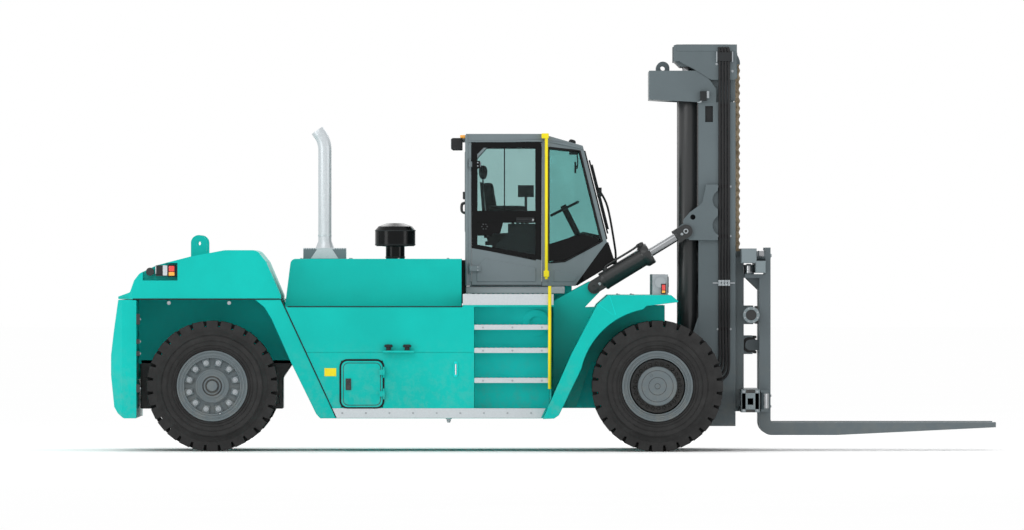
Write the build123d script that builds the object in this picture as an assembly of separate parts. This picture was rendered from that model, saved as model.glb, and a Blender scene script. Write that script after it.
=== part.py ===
from build123d import *
import math
import os

os.makedirs("parts", exist_ok=True)

# Frame: mm, +X forward to the forks, +Y to the driver's left, +Z up from the floor

# Stations along X: the mast, the drive axle behind its pivot, and the steer axle
UPRIGHT_X = (1628, 2046)
PIVOT_BEHIND = 128
PIVOT_Z = 800
AXLE_BEHIND = 343
WHEELBASE = 5000

# Wheels
TYRE_R = 737
TYRE_W = 430
LUG_COUNT = 28
LUG_DEPTH = 70
LUG_GAP = 41
SHOULDER_R = 630
RIM_R = 395
TWIN_GAP = 60
TWIN_INNER_Y = 745
KINGPIN_Y = 960
STEER_OFFSET = 150
KINGPIN_R = 60
KNUCKLE_R = 110
KNUCKLE_H = 320
LIP_R = 140
LIP = 85
STUB_R = 90
BEAM_HALF = 130
NECK_HALF = 65
SPINDLE_R = 150
HUB_R = 215
RUNNING_GAP = 5
PIN_PLAY = 0.5
SEAT_GAP = 0.3

# Hinges of the doors and the hatch
HINGE_R = 9
HINGE_L = 60
KNUCKLE_TUBE_R = 16

# Chassis widths, from the centre line
SIDE_Y = 1400
HOOD_Y = 1000
SPINE_Y = 300
FRAME_Y = 560
ARCH_WALL_Y = 690
ARCH_WALL = 40
HOOD_WALL = 50

# Chassis heights
KICK_Z = 372
TANK_Z = 485
PANEL_Z = 1625
DECK_Z = 1711
HOOD_Z = 2164
FRAME_Z = 480
FRAME_TOP_Z = 1050
COVER_H = 550

# Chassis stations along X
REAR_OVERHANG = 1137
WEIGHT_T = 288
LEG_TOP_AHEAD = 773
LEG_FOOT_AHEAD = 1397
HOOD_STEP = 108
HOOD_FRONT_X = -1043
STEP_REAR_X = -900
STEP_FRONT_X = -34
LANDING_X = (-1027, -8)
LANDING_T = 138
ARCH_GAP = 140
FENDER_T = 146

# Cab
CAB_REAR_X = -994
CAB_Z = 1858
CAB_ROOF_Z = 3572
CAB_Y = 760
CAB_NOSE_Y = 590
CAB_TAPER_X = (-70, 330)
CAB_WALL = 50
DOOR_X = (-935, -136)
DOOR_Z = (1865, 3485)
GLASS = 8

# Mast
UPRIGHT_Z = (278, 3930)
UPRIGHT_Y = (540, 680)
UPRIGHT_FLANGE = 52
UPRIGHT_WEB = 40
INNER_FOOT_Z = 330
INNER_RISE = 250
INNER_Y = (500, 630)
ROLL_GAP = 10
PIVOT_R = 60
EAR_Y = (615, 675)
LIFT_Y = 490
LIFT_BARREL_R = 115
LIFT_ROD_R = 55
SHEAVE_R = 139
SHEAVE_RISE = 180
HEAD_CAP = 27
CHAIN = 57
CHAIN_PITCH = 85
CHAIN_WAIST = 14
CHAIN_Y = 300
CHAIN_W = 70
CHAIN_FOOT_Z = 2250

# Tilt cylinders
TILT_Y = 710
TILT_PIN_BEHIND = 704
TILT_PIN_Z = 1845
TILT_EYE_BEHIND = 143
TILT_EYE_Z = 2475
TILT_PIN_R = 40
TILT_BARREL_R = 100
TILT_GLAND_R = 125
TILT_GLAND_AT = 735
TILT_ROD_R = 47
TILT_EYE_R = 75
TILT_CHEEK = 30

# Carriage and forks
RAIL_Y = 1250
HOOK_RAIL_AHEAD = 217
HOOK_RAIL_T = 114
HOOK_RAIL_Z = (2005, 2142)
LOW_RAIL_AHEAD = 55
LOW_RAIL_T = 208
LOW_RAIL_Z = (438, 694)
PLATE_Y = (430, 480)
FORK_Y = 600
FORK_W = 300
FORK_AHEAD = 267
FORK_T = 127
FORK_TOP_Z = 321
FORK_L = 2540
POSITIONER_AHEAD = 171
POSITIONER_Z = (1531, 1191)
POSITIONER_R = 88
POSITIONER_ROD_R = 30

PIVOT = (UPRIGHT_X[0] - PIVOT_BEHIND, PIVOT_Z)
FRONT_AXLE_X = PIVOT[0] - AXLE_BEHIND
REAR_AXLE_X = FRONT_AXLE_X - WHEELBASE
LUG_PITCH = 360 / LUG_COUNT
GAP_ANGLE = math.degrees(LUG_GAP / TYRE_R)
# A lug stands flat on the floor, so the axles ride at the height of its flat
AXLE_Z = TYRE_R * math.cos(math.radians((LUG_PITCH - GAP_ANGLE) / 2))
ARCH_R = TYRE_R + ARCH_GAP


def rear(dx):
    """A station measured from the steer axle."""
    return REAR_AXLE_X + dx


def front(dx):
    """A station measured from the drive axle."""
    return FRONT_AXLE_X + dx


def ahead(dx):
    """A station measured from the front face of the mast."""
    return UPRIGHT_X[1] + dx


TAIL_X = rear(-REAR_OVERHANG)
WEIGHT_FRONT_X = TAIL_X + WEIGHT_T
LEG_TOP_X = rear(LEG_TOP_AHEAD)
LEG_FOOT = (rear(LEG_FOOT_AHEAD), KICK_Z)
HOOD_REAR_X = LEG_TOP_X + HOOD_STEP
HOOD_L = HOOD_FRONT_X - HOOD_REAR_X
LANDING_Z = PANEL_Z + LANDING_T
FENDER_TOP_Z = AXLE_Z + ARCH_R + FENDER_T
FENDER_FOOT = (front(-1286), KICK_Z - RUNNING_GAP)
FENDER_BACK = (front(-967), 1091)
TILT_PIN = (front(-TILT_PIN_BEHIND), TILT_PIN_Z)
TILT_EYE = (UPRIGHT_X[0] - TILT_EYE_BEHIND, TILT_EYE_Z)
LIFT_X = UPRIGHT_X[0] - LIFT_BARREL_R
MAST_Z = UPRIGHT_Z[1]
INNER_Z = (INNER_FOOT_Z, MAST_Z + INNER_RISE)
SHEAVE = (UPRIGHT_X[1] - SHEAVE_R, INNER_Z[1] + SHEAVE_RISE)
HEAD_TOP_Z = SHEAVE[1] + SHEAVE_R + CHAIN + HEAD_CAP
HOOK_RAIL_X = (ahead(HOOK_RAIL_AHEAD), ahead(HOOK_RAIL_AHEAD + HOOK_RAIL_T))
LOW_RAIL_X = (ahead(LOW_RAIL_AHEAD), ahead(LOW_RAIL_AHEAD + LOW_RAIL_T))
FORK_X = (ahead(FORK_AHEAD), ahead(FORK_AHEAD + FORK_T))
FORK_TIP_X = FORK_X[1] + FORK_L
POSITIONER_X = ahead(POSITIONER_AHEAD)


def plate(points, y0, y1):
    """A side outline made as thick as y0 to y1. A point may carry a corner radius."""
    radii = [p[2] if len(p) > 2 else 0 for p in points]
    corners = [(p[0], p[1]) for p in points]
    if any(radii):
        line = FilletPolyline(*corners, radius=radii, close=True)
    else:
        line = Polyline(*corners, close=True)
    return extrude(Plane.XZ.offset(-y1) * make_face(line), amount=y1 - y0)


def block(x0, x1, y0, y1, z0, z1):
    return Pos((x0 + x1) / 2, (y0 + y1) / 2, (z0 + z1) / 2) * Box(x1 - x0, y1 - y0, z1 - z0)


def bar_y(x, z, r, y0, y1):
    return Pos(x, (y0 + y1) / 2, z) * Rot(90, 0, 0) * Cylinder(r, y1 - y0)


def bar_z(x, y, r, z0, z1):
    return Pos(x, y, (z0 + z1) / 2) * Cylinder(r, z1 - z0)


def turned_y(rings, x, z):
    """A turned piece about a cross axis, from (y, radius) rings, closed at the axis."""
    outline = [(rings[0][0], 0)] + list(rings) + [(rings[-1][0], 0)]
    face = make_face(Polyline(*[(r, y) for y, r in outline], close=True))
    return Pos(x, 0, z) * revolve(face, Axis.Y)


def other_side(shape):
    return mirror(shape, about=Plane.XZ)


def save(name, *solids):
    shape = solids[0] if len(solids) == 1 else Compound(children=list(solids))
    export_step(shape, f"parts/{name}.step")


def save_pair(name, left):
    """One solid on each side, in one node."""
    save(name, left, other_side(left))


def hinge(x, y, z, foot_y, leaf_y, leaf_x):
    """A pin on two feet, and the leaf that turns on it, seated at leaf_y and reaching to leaf_x."""
    fixed = bar_z(x, y, HINGE_R, z - HINGE_L, z + HINGE_L)
    for end in (z - HINGE_L, z + HINGE_L - 2 * HINGE_R):
        fixed += block(x - HINGE_R, x + HINGE_R, foot_y, y, end, end + 2 * HINGE_R)
    leaf_z = (z - HINGE_L / 2, z + HINGE_L / 2)
    leaf = block(min(x, leaf_x), max(x, leaf_x), leaf_y, y + HINGE_R, *leaf_z)
    leaf += bar_z(x, y, KNUCKLE_TUBE_R, *leaf_z)
    return fixed, leaf


# Tyres and rims: lugs are the outline of a ring, with a bulging wall each side
def lug_ring(width):
    outline = []
    for k in range(LUG_COUNT):
        start = -90 + (k - 0.5) * LUG_PITCH + GAP_ANGLE / 2
        root = GAP_ANGLE * 0.2
        lug_end = LUG_PITCH - GAP_ANGLE
        for turn, r in ((0, TYRE_R), (lug_end, TYRE_R), (lug_end + root, TYRE_R - LUG_DEPTH),
                        (LUG_PITCH - root, TYRE_R - LUG_DEPTH)):
            angle = math.radians(start + turn)
            outline.append((r * math.cos(angle), r * math.sin(angle)))
    ring = make_face(Polyline(*outline, close=True)) - Circle(SHOULDER_R - LUG_DEPTH)
    return extrude(Plane.XZ.offset(-width / 2) * ring, amount=width)


def tyre():
    half = TYRE_W / 2
    tread = lug_ring(TYRE_W - 2 * LUG_GAP)
    bead = half * 0.8
    wall = [(RIM_R, -bead), (SHOULDER_R - LUG_DEPTH, -half), (SHOULDER_R, -half + LUG_GAP),
            (SHOULDER_R, half - LUG_GAP), (SHOULDER_R - LUG_DEPTH, half), (RIM_R, bead)]
    body = revolve(make_face(Polyline(*wall, close=True)), Axis.Y)
    return tread + body


# Rings of a hub's face: share of the hub's radius and height over the disc
HUB_RINGS = ((1.0, 41), (0.7, 56), (0.5, 68), (0.3, 74))


def rim(inner, outer, dish, hub_at, hub_r):
    """A rim barrel between inner and outer faces with its disc at dish and a stepped hub from hub_at."""
    seat = RIM_R - SEAT_GAP
    bore = RIM_R - 2 * LUG_GAP
    barrel = bar_y(0, 0, seat, inner, outer) - bar_y(0, 0, bore, inner - 1, outer + 1)
    disc = bar_y(0, 0, bore, dish - LUG_GAP, dish)
    for share, height in HUB_RINGS:
        disc += bar_y(0, 0, hub_r * share, dish - LUG_GAP, hub_at + height)
    return barrel + disc


TWIN_Y = [TWIN_INNER_Y + TYRE_W / 2, TWIN_INNER_Y + TYRE_W * 1.5 + TWIN_GAP]
AT_FRONT = Pos(FRONT_AXLE_X, 0, AXLE_Z)
AT_REAR = Pos(REAR_AXLE_X, 0, AXLE_Z)
STEER_Y = KINGPIN_Y + STEER_OFFSET
SPINDLE_END_Y = TWIN_Y[0] + 2 * LUG_DEPTH
STUB_END_Y = STEER_Y + TYRE_W * 0.25
TWIN_OUT_Y = TWIN_INNER_Y + 2 * TYRE_W + TWIN_GAP
twin_tyres = [AT_FRONT * Pos(0, y, 0) * tyre() for y in TWIN_Y]
TWIN_HUB_Y = TWIN_OUT_Y - 2 * LUG_DEPTH - LUG_GAP
twin_rim = rim(TWIN_INNER_Y + RUNNING_GAP, TWIN_OUT_Y - LUG_GAP, TWIN_Y[0] + LUG_DEPTH, TWIN_HUB_Y, HUB_R)
twin_rim -= bar_y(0, 0, SPINDLE_R + PIN_PLAY, TWIN_INNER_Y, SPINDLE_END_Y + PIN_PLAY)
twin_rim = AT_FRONT * twin_rim
rear_tyre = AT_REAR * Pos(0, STEER_Y, 0) * tyre()
STEER_HUB_R = 190
STEER_DISC_Y = TYRE_W * 0.3
rear_rim = rim(-TYRE_W * 0.4, TYRE_W * 0.4, STEER_DISC_Y, STEER_DISC_Y, STEER_HUB_R)
rear_rim -= bar_y(0, 0, STUB_R + PIN_PLAY, -TYRE_W, TYRE_W * 0.25 + PIN_PLAY)
rear_rim = AT_REAR * Pos(0, STEER_Y, 0) * rear_rim
for side, place in (("left", lambda s: s), ("right", other_side)):
    save(f"front_tyres_{side}", *[place(t) for t in twin_tyres])
    save(f"front_rims_{side}", place(twin_rim))
    save(f"rear_tyre_{side}", place(rear_tyre))
    save(f"rear_rim_{side}", place(rear_rim))


def slab(points, z0, z1):
    """A plan outline made as tall as z0 to z1."""
    return extrude(Pos(0, 0, z0) * make_face(Polyline(*points, close=True)), amount=z1 - z0)


# Steer axle: a beam that narrows to two lips round each kingpin, so that the turned rim clears it
jaw_z = (AXLE_Z - KNUCKLE_H / 2, AXLE_Z + KNUCKLE_H / 2)
lip_z = (jaw_z[0] - LIP, jaw_z[1] + LIP)
NECK_Y = KINGPIN_Y - 2 * LIP_R
beam = [(BEAM_HALF, NECK_Y), (NECK_HALF, NECK_Y + BEAM_HALF - NECK_HALF), (NECK_HALF, KINGPIN_Y)]
half_plan = [(-x, y) for x, y in reversed(beam)]
steer_axle = slab(beam + half_plan + [(-x, -y) for x, y in beam] + [(-x, -y) for x, y in half_plan], *lip_z)
knuckle = bar_z(0, KINGPIN_Y, KNUCKLE_R, jaw_z[0] + PIN_PLAY, jaw_z[1] - PIN_PLAY)
knuckle += bar_y(0, AXLE_Z, STUB_R, KINGPIN_Y, STUB_END_Y)
knuckle -= bar_z(0, KINGPIN_Y, KINGPIN_R + PIN_PLAY, *lip_z)
for sign in (-1, 1):
    steer_axle += bar_z(0, sign * KINGPIN_Y, LIP_R, *lip_z)
    steer_axle -= bar_z(0, sign * KINGPIN_Y, KNUCKLE_R + 4 * RUNNING_GAP, *jaw_z)
    steer_axle -= block(-LIP_R, LIP_R, sign * KINGPIN_Y - LIP_R, sign * KINGPIN_Y + LIP_R, *jaw_z)
    steer_axle += bar_z(0, sign * KINGPIN_Y, KINGPIN_R, *lip_z)
save("steer_axle", Pos(REAR_AXLE_X, 0, 0) * steer_axle)
save("knuckle_left", Pos(REAR_AXLE_X, 0, 0) * knuckle)
save("knuckle_right", other_side(Pos(REAR_AXLE_X, 0, 0) * knuckle))

# Drive axle: a turned housing with its differential, and an arm each side out to the mast's pivot
AXLE_R = 180
DIFF_R = 330
DIFF_Y = 280
ARM_Y = (ARCH_WALL_Y, ARCH_WALL_Y + ARCH_WALL)
half_axle = [(DIFF_Y / 2, DIFF_R), (DIFF_Y * 1.4, AXLE_R), (ARM_Y[1], AXLE_R)]
axle_rings = [(-y, r) for y, r in reversed(half_axle)] + half_axle
drive_axle = turned_y(axle_rings, FRONT_AXLE_X, AXLE_Z)
for sign in (-1, 1):
    near, far = sorted((sign * ARM_Y[0], sign * ARM_Y[1]))
    arm = plate([(FRONT_AXLE_X, AXLE_Z - AXLE_R), (PIVOT[0], PIVOT[1] - 2 * PIVOT_R),
                 (PIVOT[0], PIVOT[1] + 2 * PIVOT_R), (FRONT_AXLE_X, AXLE_Z + AXLE_R)], near, far)
    pin_y = sorted((sign * EAR_Y[0], sign * ARM_Y[0]))
    spindle_y = sorted((sign * ARM_Y[0], sign * SPINDLE_END_Y))
    drive_axle += arm + bar_y(*PIVOT, 2 * PIVOT_R, near, far) + bar_y(*PIVOT, PIVOT_R, *pin_y)
    drive_axle += bar_y(FRONT_AXLE_X, AXLE_Z, SPINDLE_R, *spindle_y)
save("drive_axle", drive_axle)

# Frame: a narrow spine over the steer axle, a wide middle, two cheeks over the drive axle, and the cab's seat
SPINE_TOP_Z = 1450
SPINE_FRONT_X = LEG_FOOT[0] - 174
CHEEK_REAR_X = front(-857)
CHEEK_FRONT_X = front(133)
CHEEK_W = 140
SEAT_X = (-950, 200)
frame = block(WEIGHT_FRONT_X, SPINE_FRONT_X + RUNNING_GAP, -SPINE_Y, SPINE_Y, lip_z[1], SPINE_TOP_Z)
frame += block(SPINE_FRONT_X, CHEEK_REAR_X, -FRAME_Y, FRAME_Y, FRAME_Z, FRAME_TOP_Z)
frame += block(SEAT_X[0], SEAT_X[1], -FRAME_Y, FRAME_Y, FRAME_TOP_Z, CAB_Z)
for sign in (-1, 1):
    cheek_y = sorted((sign * FRAME_Y, sign * (FRAME_Y - CHEEK_W)))
    frame += block(CHEEK_REAR_X - 1, CHEEK_FRONT_X, *cheek_y, FRAME_Z, FRAME_TOP_Z)
frame -= bar_y(FRONT_AXLE_X, AXLE_Z, AXLE_R + SEAT_GAP, -FRAME_Y - 1, FRAME_Y + 1)
save("frame", frame)

# Counterweight, with a slatted air outlet through its middle, and the housing behind it
WEIGHT_Y = 1400
WEIGHT_CORNER = 120
GRILLE_Y = 520
GRILLE_Z = (800, 1500)
SLAT_COUNT = 8
SLAT = 24
WEIGHT_TOP_Z = DECK_Z - 7
# Distance in from the tail and height, down the counterweight's bowed back
WEIGHT_BACK = ((83, WEIGHT_TOP_Z), (34, 1362), (0, 1081), (0, 856), (37, 501), (79, 428), (144, KICK_Z))
weight = plate([(TAIL_X + dx, z) for dx, z in WEIGHT_BACK]
               + [(WEIGHT_FRONT_X, KICK_Z), (WEIGHT_FRONT_X, WEIGHT_TOP_Z)], -WEIGHT_Y, WEIGHT_Y)
plan = [(WEIGHT_FRONT_X, WEIGHT_Y), (TAIL_X + WEIGHT_CORNER, WEIGHT_Y), (TAIL_X, WEIGHT_Y - WEIGHT_CORNER)]
weight &= slab(plan + [(x, -y) for x, y in reversed(plan)], 0, DECK_Z)
weight -= block(TAIL_X - 1, WEIGHT_FRONT_X + 1, -GRILLE_Y, GRILLE_Y, *GRILLE_Z)
slat_x = (TAIL_X + 120, WEIGHT_FRONT_X - 28)
slat_pitch = (GRILLE_Z[1] - GRILLE_Z[0]) / SLAT_COUNT
for k in range(SLAT_COUNT):
    z = GRILLE_Z[0] + (k + 0.5) * slat_pitch
    weight += plate([(slat_x[0], z - SLAT), (slat_x[1], z + SLAT), (slat_x[1], z + 2 * SLAT), (slat_x[0], z)],
                    -GRILLE_Y, GRILLE_Y)
save("counterweight", weight)

save("rear_housing", block(WEIGHT_FRONT_X, LEG_TOP_X, -SPINE_Y, SPINE_Y, SPINE_TOP_Z, DECK_Z))

# Rear cover: a humped lid over the housing, cut back for the lamps on each side
COVER_CORNER = 160
REAR_TOP_Z = DECK_Z + COVER_H
COVER_REAR_X = TAIL_X + 79
LAMP_X = (rear(-777), rear(-387))
LAMP_Z = (DECK_Z + 0.38 * COVER_H, DECK_Z + 0.74 * COVER_H)
LAMP_DEPTH = 140
# Station from the steer axle, share of the cover's height, corner radius
COVER_SIDE = ((-1054, 0, 0), (-1058, 0.05, 0), (-921, 0.14, 30), (-875, 0.38, 0), (-814, 0.525, 80),
              (-625, 0.69, 0), (-247, 0.867, 0), (143, 1, 300), (503, 1, 110), (609, 0.758, 60),
              (LEG_TOP_AHEAD, 0.07, 0), (LEG_TOP_AHEAD, 0, 0))
cover = plate([(rear(dx), DECK_Z + share * COVER_H, r) for dx, share, r in COVER_SIDE], -SIDE_Y, SIDE_Y)
plan = [(LEG_TOP_X, SIDE_Y), (COVER_REAR_X + COVER_CORNER, SIDE_Y), (COVER_REAR_X, SIDE_Y - COVER_CORNER)]
cover &= slab(plan + [(x, -y) for x, y in reversed(plan)], DECK_Z, REAR_TOP_Z)
for sign in (-1, 1):
    lamp_y = sorted((sign * (SIDE_Y + 1), sign * (SIDE_Y - LAMP_DEPTH)))
    cover -= block(*LAMP_X, *lamp_y, *LAMP_Z)
save("rear_cover", cover)

# Rear lamps: a black box in each recess with a round lamp on a bracket
lamp_floor = SIDE_Y - LAMP_DEPTH
lamp = block(LAMP_X[1] - 245, LAMP_X[1], lamp_floor, SIDE_Y - 40, LAMP_Z[0] + 50, LAMP_Z[1] - 27)
lamp += bar_y(LAMP_X[0] + 80, LAMP_Z[0] + 100, 45, lamp_floor, SIDE_Y - 60)
save_pair("rear_lamps", lamp)

# Lifting lugs on the cover, with an eye each
LUG_X = (rear(-251), rear(-73))
LUG_EYE = (rear(-166), REAR_TOP_Z + 77)
LUG_SHOULDER_Z = REAR_TOP_Z + 99
LUG_TOP_Z = REAR_TOP_Z + 171
EYE_R = 28
LUG_Y = (680, 740)
lug_foot_z = DECK_Z + 0.8 * COVER_H
LUG_R = 40
lug = plate([(LUG_X[0], lug_foot_z), (LUG_X[1], lug_foot_z), (LUG_X[1], LUG_SHOULDER_Z, LUG_R),
             (LUG_X[1] - 44, LUG_TOP_Z, LUG_R), (LUG_X[0] + 44, LUG_TOP_Z, LUG_R),
             (LUG_X[0], LUG_SHOULDER_Z, LUG_R)], *LUG_Y)
lug = lug - cover - bar_y(*LUG_EYE, EYE_R, LUG_Y[0] - 1, LUG_Y[1] + 1)
save_pair("lifting_lugs", lug.solids().sort_by(Axis.Z)[-1])

# Rear mudguard legs
LEG_SLOPE = (LEG_FOOT[0] - LEG_TOP_X) / (DECK_Z - LEG_FOOT[1])


def leg_x(z):
    """Front edge of the rear leg, where the side body starts."""
    return LEG_TOP_X + (DECK_Z - z) * LEG_SLOPE


rear_leg = plate([(rear(471), DECK_Z), (rear(586), DECK_Z - 90), (rear(668), DECK_Z - 223), (rear(885), 1003),
                  (rear(1171), KICK_Z + 48), (rear(1216), KICK_Z), LEG_FOOT, (LEG_TOP_X, DECK_Z)],
                 FRAME_Y, SIDE_Y)
save_pair("rear_mudguards", rear_leg)

# Side bodies: a lower box and a panel above it, with a pocket for the hatch on the right
HATCH_X = (LEG_FOOT[0] + 56, LEG_FOOT[0] + 518)
HATCH_Z = (499, 1016)
HATCH_R = 70
HATCH_T = 45
HATCH_PROUD = 15
HINGE_X = HATCH_X[1] + 14
HINGE_Y = SIDE_Y + HATCH_PROUD + 12
HINGE_Z = (890, 647)
SEAM = 6
SEAM_Z = 1109
side = plate([(leg_x(TANK_Z), TANK_Z), (STEP_REAR_X, TANK_Z), (STEP_REAR_X, PANEL_Z),
              (leg_x(PANEL_Z), PANEL_Z)], FRAME_Y, SIDE_Y)
side -= block(LEG_TOP_X, STEP_REAR_X, SIDE_Y - SEAM, SIDE_Y, SEAM_Z, SEAM_Z + SEAM)
hatch_outline = [(HATCH_X[0], HATCH_Z[0], HATCH_R), (HATCH_X[1], HATCH_Z[0], HATCH_R),
                 (HATCH_X[1], HATCH_Z[1], HATCH_R), (HATCH_X[0], HATCH_Z[1], HATCH_R)]
floor_y = SIDE_Y + HATCH_PROUD - HATCH_T - SEAT_GAP
pocket = block(HATCH_X[0] - RUNNING_GAP, HATCH_X[1] + RUNNING_GAP, floor_y, SIDE_Y + 1,
               HATCH_Z[0] - RUNNING_GAP, HATCH_Z[1] + RUNNING_GAP)
right_side = side - pocket
hatch = plate(hatch_outline, SIDE_Y + HATCH_PROUD - HATCH_T, SIDE_Y + HATCH_PROUD)
for z in HINGE_Z:
    fixed, leaf = hinge(HINGE_X, HINGE_Y, z, SIDE_Y, SIDE_Y + HATCH_PROUD, HATCH_X[1] - 4 * HINGE_R)
    right_side += fixed
    hatch = hatch + leaf - bar_z(HINGE_X, HINGE_Y, HINGE_R + PIN_PLAY, z - HINGE_L, z + HINGE_L)
save("side_body_left", side)
save("side_body_right", other_side(right_side))
save("hatch", other_side(hatch))

# Hood, hollow over the engine block, with the filler, exhaust and air cleaner on top
hood_outline = [(leg_x(PANEL_Z), PANEL_Z), (HOOD_REAR_X, HOOD_Z, 60), (HOOD_FRONT_X, HOOD_Z),
                (HOOD_FRONT_X, PANEL_Z)]
hood_hollow = [(leg_x(PANEL_Z) + HOOD_WALL, PANEL_Z - 1), (HOOD_REAR_X + HOOD_WALL, HOOD_Z - HOOD_WALL),
               (HOOD_FRONT_X - HOOD_WALL, HOOD_Z - HOOD_WALL), (HOOD_FRONT_X - HOOD_WALL, PANEL_Z - 1)]
hood = plate(hood_outline, -HOOD_Y, HOOD_Y) - plate(hood_hollow, -HOOD_Y + HOOD_WALL, HOOD_Y - HOOD_WALL)
save("hood", hood)
ENGINE_Y = 450
ENGINE_END_GAP = 210
ENGINE_TOP_GAP = 214
save("engine", block(HOOD_REAR_X + 1.7 * ENGINE_END_GAP, HOOD_FRONT_X - ENGINE_END_GAP, -ENGINE_Y, ENGINE_Y,
                     FRAME_TOP_Z, HOOD_Z - ENGINE_TOP_GAP))

# The stack and the cleaner stand at these shares of the hood's length
STACK_AT = 0.195
CLEANER_AT = 0.609
STACK_X = HOOD_REAR_X + STACK_AT * HOOD_L
STACK_Y = -420
STACK_R = 75
STACK_WALL = 12
STACK_H = 1230
STACK_Z = HOOD_Z + STACK_H
STACK_LIP = 60
STACK_FOOT_R = 155
STACK_FOOT_H = 200
STACK_BEND = 300
STACK_TURN = 35
GUARD_HALF_X = 242
GUARD_H = 122
GUARD_Y = 170
bend = math.radians(STACK_TURN)
arc_end = (STACK_X - STACK_BEND * (1 - math.cos(bend)), STACK_Z + STACK_BEND * math.sin(bend))
tip = (arc_end[0] - STACK_LIP * math.sin(bend), arc_end[1] + STACK_LIP * math.cos(bend))
mid = (STACK_X - STACK_BEND * (1 - math.cos(bend / 2)), STACK_Z + STACK_BEND * math.sin(bend / 2))
centre = [(x, STACK_Y, z) for x, z in ((STACK_X, HOOD_Z), (STACK_X, STACK_Z), mid, arc_end, tip)]
elbow = ThreePointArc(*centre[1:4]) + Line(centre[3], centre[4])
foot = Plane(origin=centre[0], z_dir=(0, 0, 1))
bored_from = STACK_Z - STACK_H / 2
bore_path = Line((STACK_X, STACK_Y, bored_from), centre[1]) + elbow
stack = sweep(foot * Circle(STACK_R), path=Line(centre[0], centre[1]) + elbow)
stack -= sweep(Pos(0, 0, bored_from - HOOD_Z) * foot * Circle(STACK_R - STACK_WALL), path=bore_path)
stack += Pos(STACK_X, STACK_Y, HOOD_Z + STACK_FOOT_H / 2) * Cone(STACK_FOOT_R, STACK_R, STACK_FOOT_H)
stack += block(STACK_X - GUARD_HALF_X, STACK_X + GUARD_HALF_X, STACK_Y - GUARD_Y, STACK_Y + GUARD_Y,
               HOOD_Z, HOOD_Z + GUARD_H)
save("exhaust", stack)

CLEANER_X = HOOD_REAR_X + CLEANER_AT * HOOD_L
CLEANER_Y = -420
# Height over the hood and radius
CLEANER_RINGS = ((0, 107), (136, 107), (150, 228), (322, 228), (366, 190), (403, 90))
outline = [(0, 0)] + [(r, z) for z, r in CLEANER_RINGS] + [(0, CLEANER_RINGS[-1][0])]
cleaner = revolve(Plane.XZ * make_face(Polyline(*outline, close=True)), Axis.Z)
save("air_cleaner", Pos(CLEANER_X, CLEANER_Y, HOOD_Z) * cleaner)

# Arch wall and tilt arm on each side, one plate from the frame up to the tilt cylinder's pin
ARM_TOP_X = front(90)
ARM_FOOT_X = front(-907)
ARM_Z = (500, 1000)
wall_y = (ARCH_WALL_Y, ARCH_WALL_Y + ARCH_WALL)
pin_x, pin_z = TILT_PIN
wall = plate([(LANDING_X[1], ARM_Z[0]), (ARM_FOOT_X, ARM_Z[0]), (ARM_FOOT_X + 170, ARM_Z[1]),
              (ARM_TOP_X, ARM_Z[1]),
              (ARM_TOP_X, FENDER_TOP_Z - 117), (pin_x - 108, pin_z - 229), (pin_x + 60, pin_z - 55),
              (pin_x - 50, pin_z + 65), (pin_x - 246, pin_z - 39), (LANDING_X[1], pin_z - 159)], *wall_y)
wall += bar_y(*TILT_PIN, 1.8 * TILT_PIN_R, *wall_y)
wall += block(LANDING_X[1], ARM_FOOT_X, FRAME_Y, ARCH_WALL_Y, FRAME_TOP_Z - 450, FRAME_TOP_Z)
pin_reach = TILT_CHEEK + RUNNING_GAP
wall += bar_y(*TILT_PIN, TILT_PIN_R, wall_y[0] - pin_reach, wall_y[1] + pin_reach)
save_pair("tilt_arms", wall)

# Front mudguards with a lamp box on each
FENDER_Y = TWIN_OUT_Y
LIP_X = front(231)
fender = plate([FENDER_FOOT, (FENDER_FOOT[0] + 126, KICK_Z), (FENDER_FOOT[0] + 181, KICK_Z + 38),
                (front(-847), AXLE_Z + 211), (front(-124), FENDER_TOP_Z - 124), (LIP_X, FENDER_TOP_Z - 80),
                (LIP_X, FENDER_TOP_Z - 67), (LIP_X - 78, FENDER_TOP_Z), (front(-554), FENDER_TOP_Z),
                (front(-675), FENDER_TOP_Z - 106), FENDER_BACK], wall_y[1], FENDER_Y)
fender -= bar_y(FRONT_AXLE_X, AXLE_Z, ARCH_R, wall_y[1] - 1, FENDER_Y + 1)
save_pair("front_mudguards", fender)
LAMP_BOX_X = (front(-56), front(118))
LAMP_BOX_Y = (1440, 1600)
LAMP_BOX_H = 231
LAMP_R = 60
front_lamp = block(*LAMP_BOX_X, *LAMP_BOX_Y, FENDER_TOP_Z, FENDER_TOP_Z + LAMP_BOX_H)
front_lamp += bar_y(sum(LAMP_BOX_X) / 2, FENDER_TOP_Z + LAMP_BOX_H - 1.5 * LAMP_R, LAMP_R, LAMP_BOX_Y[1],
                    LAMP_BOX_Y[1] + 25)
save_pair("front_lamps", front_lamp)

# Landing and steps, with the kick strip along the foot of the side
STEP_Z = (1419, 1159, 822)
STEP_T = 48
STEP_BACK_Y = 1060
STEP_WALL = 18
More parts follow.
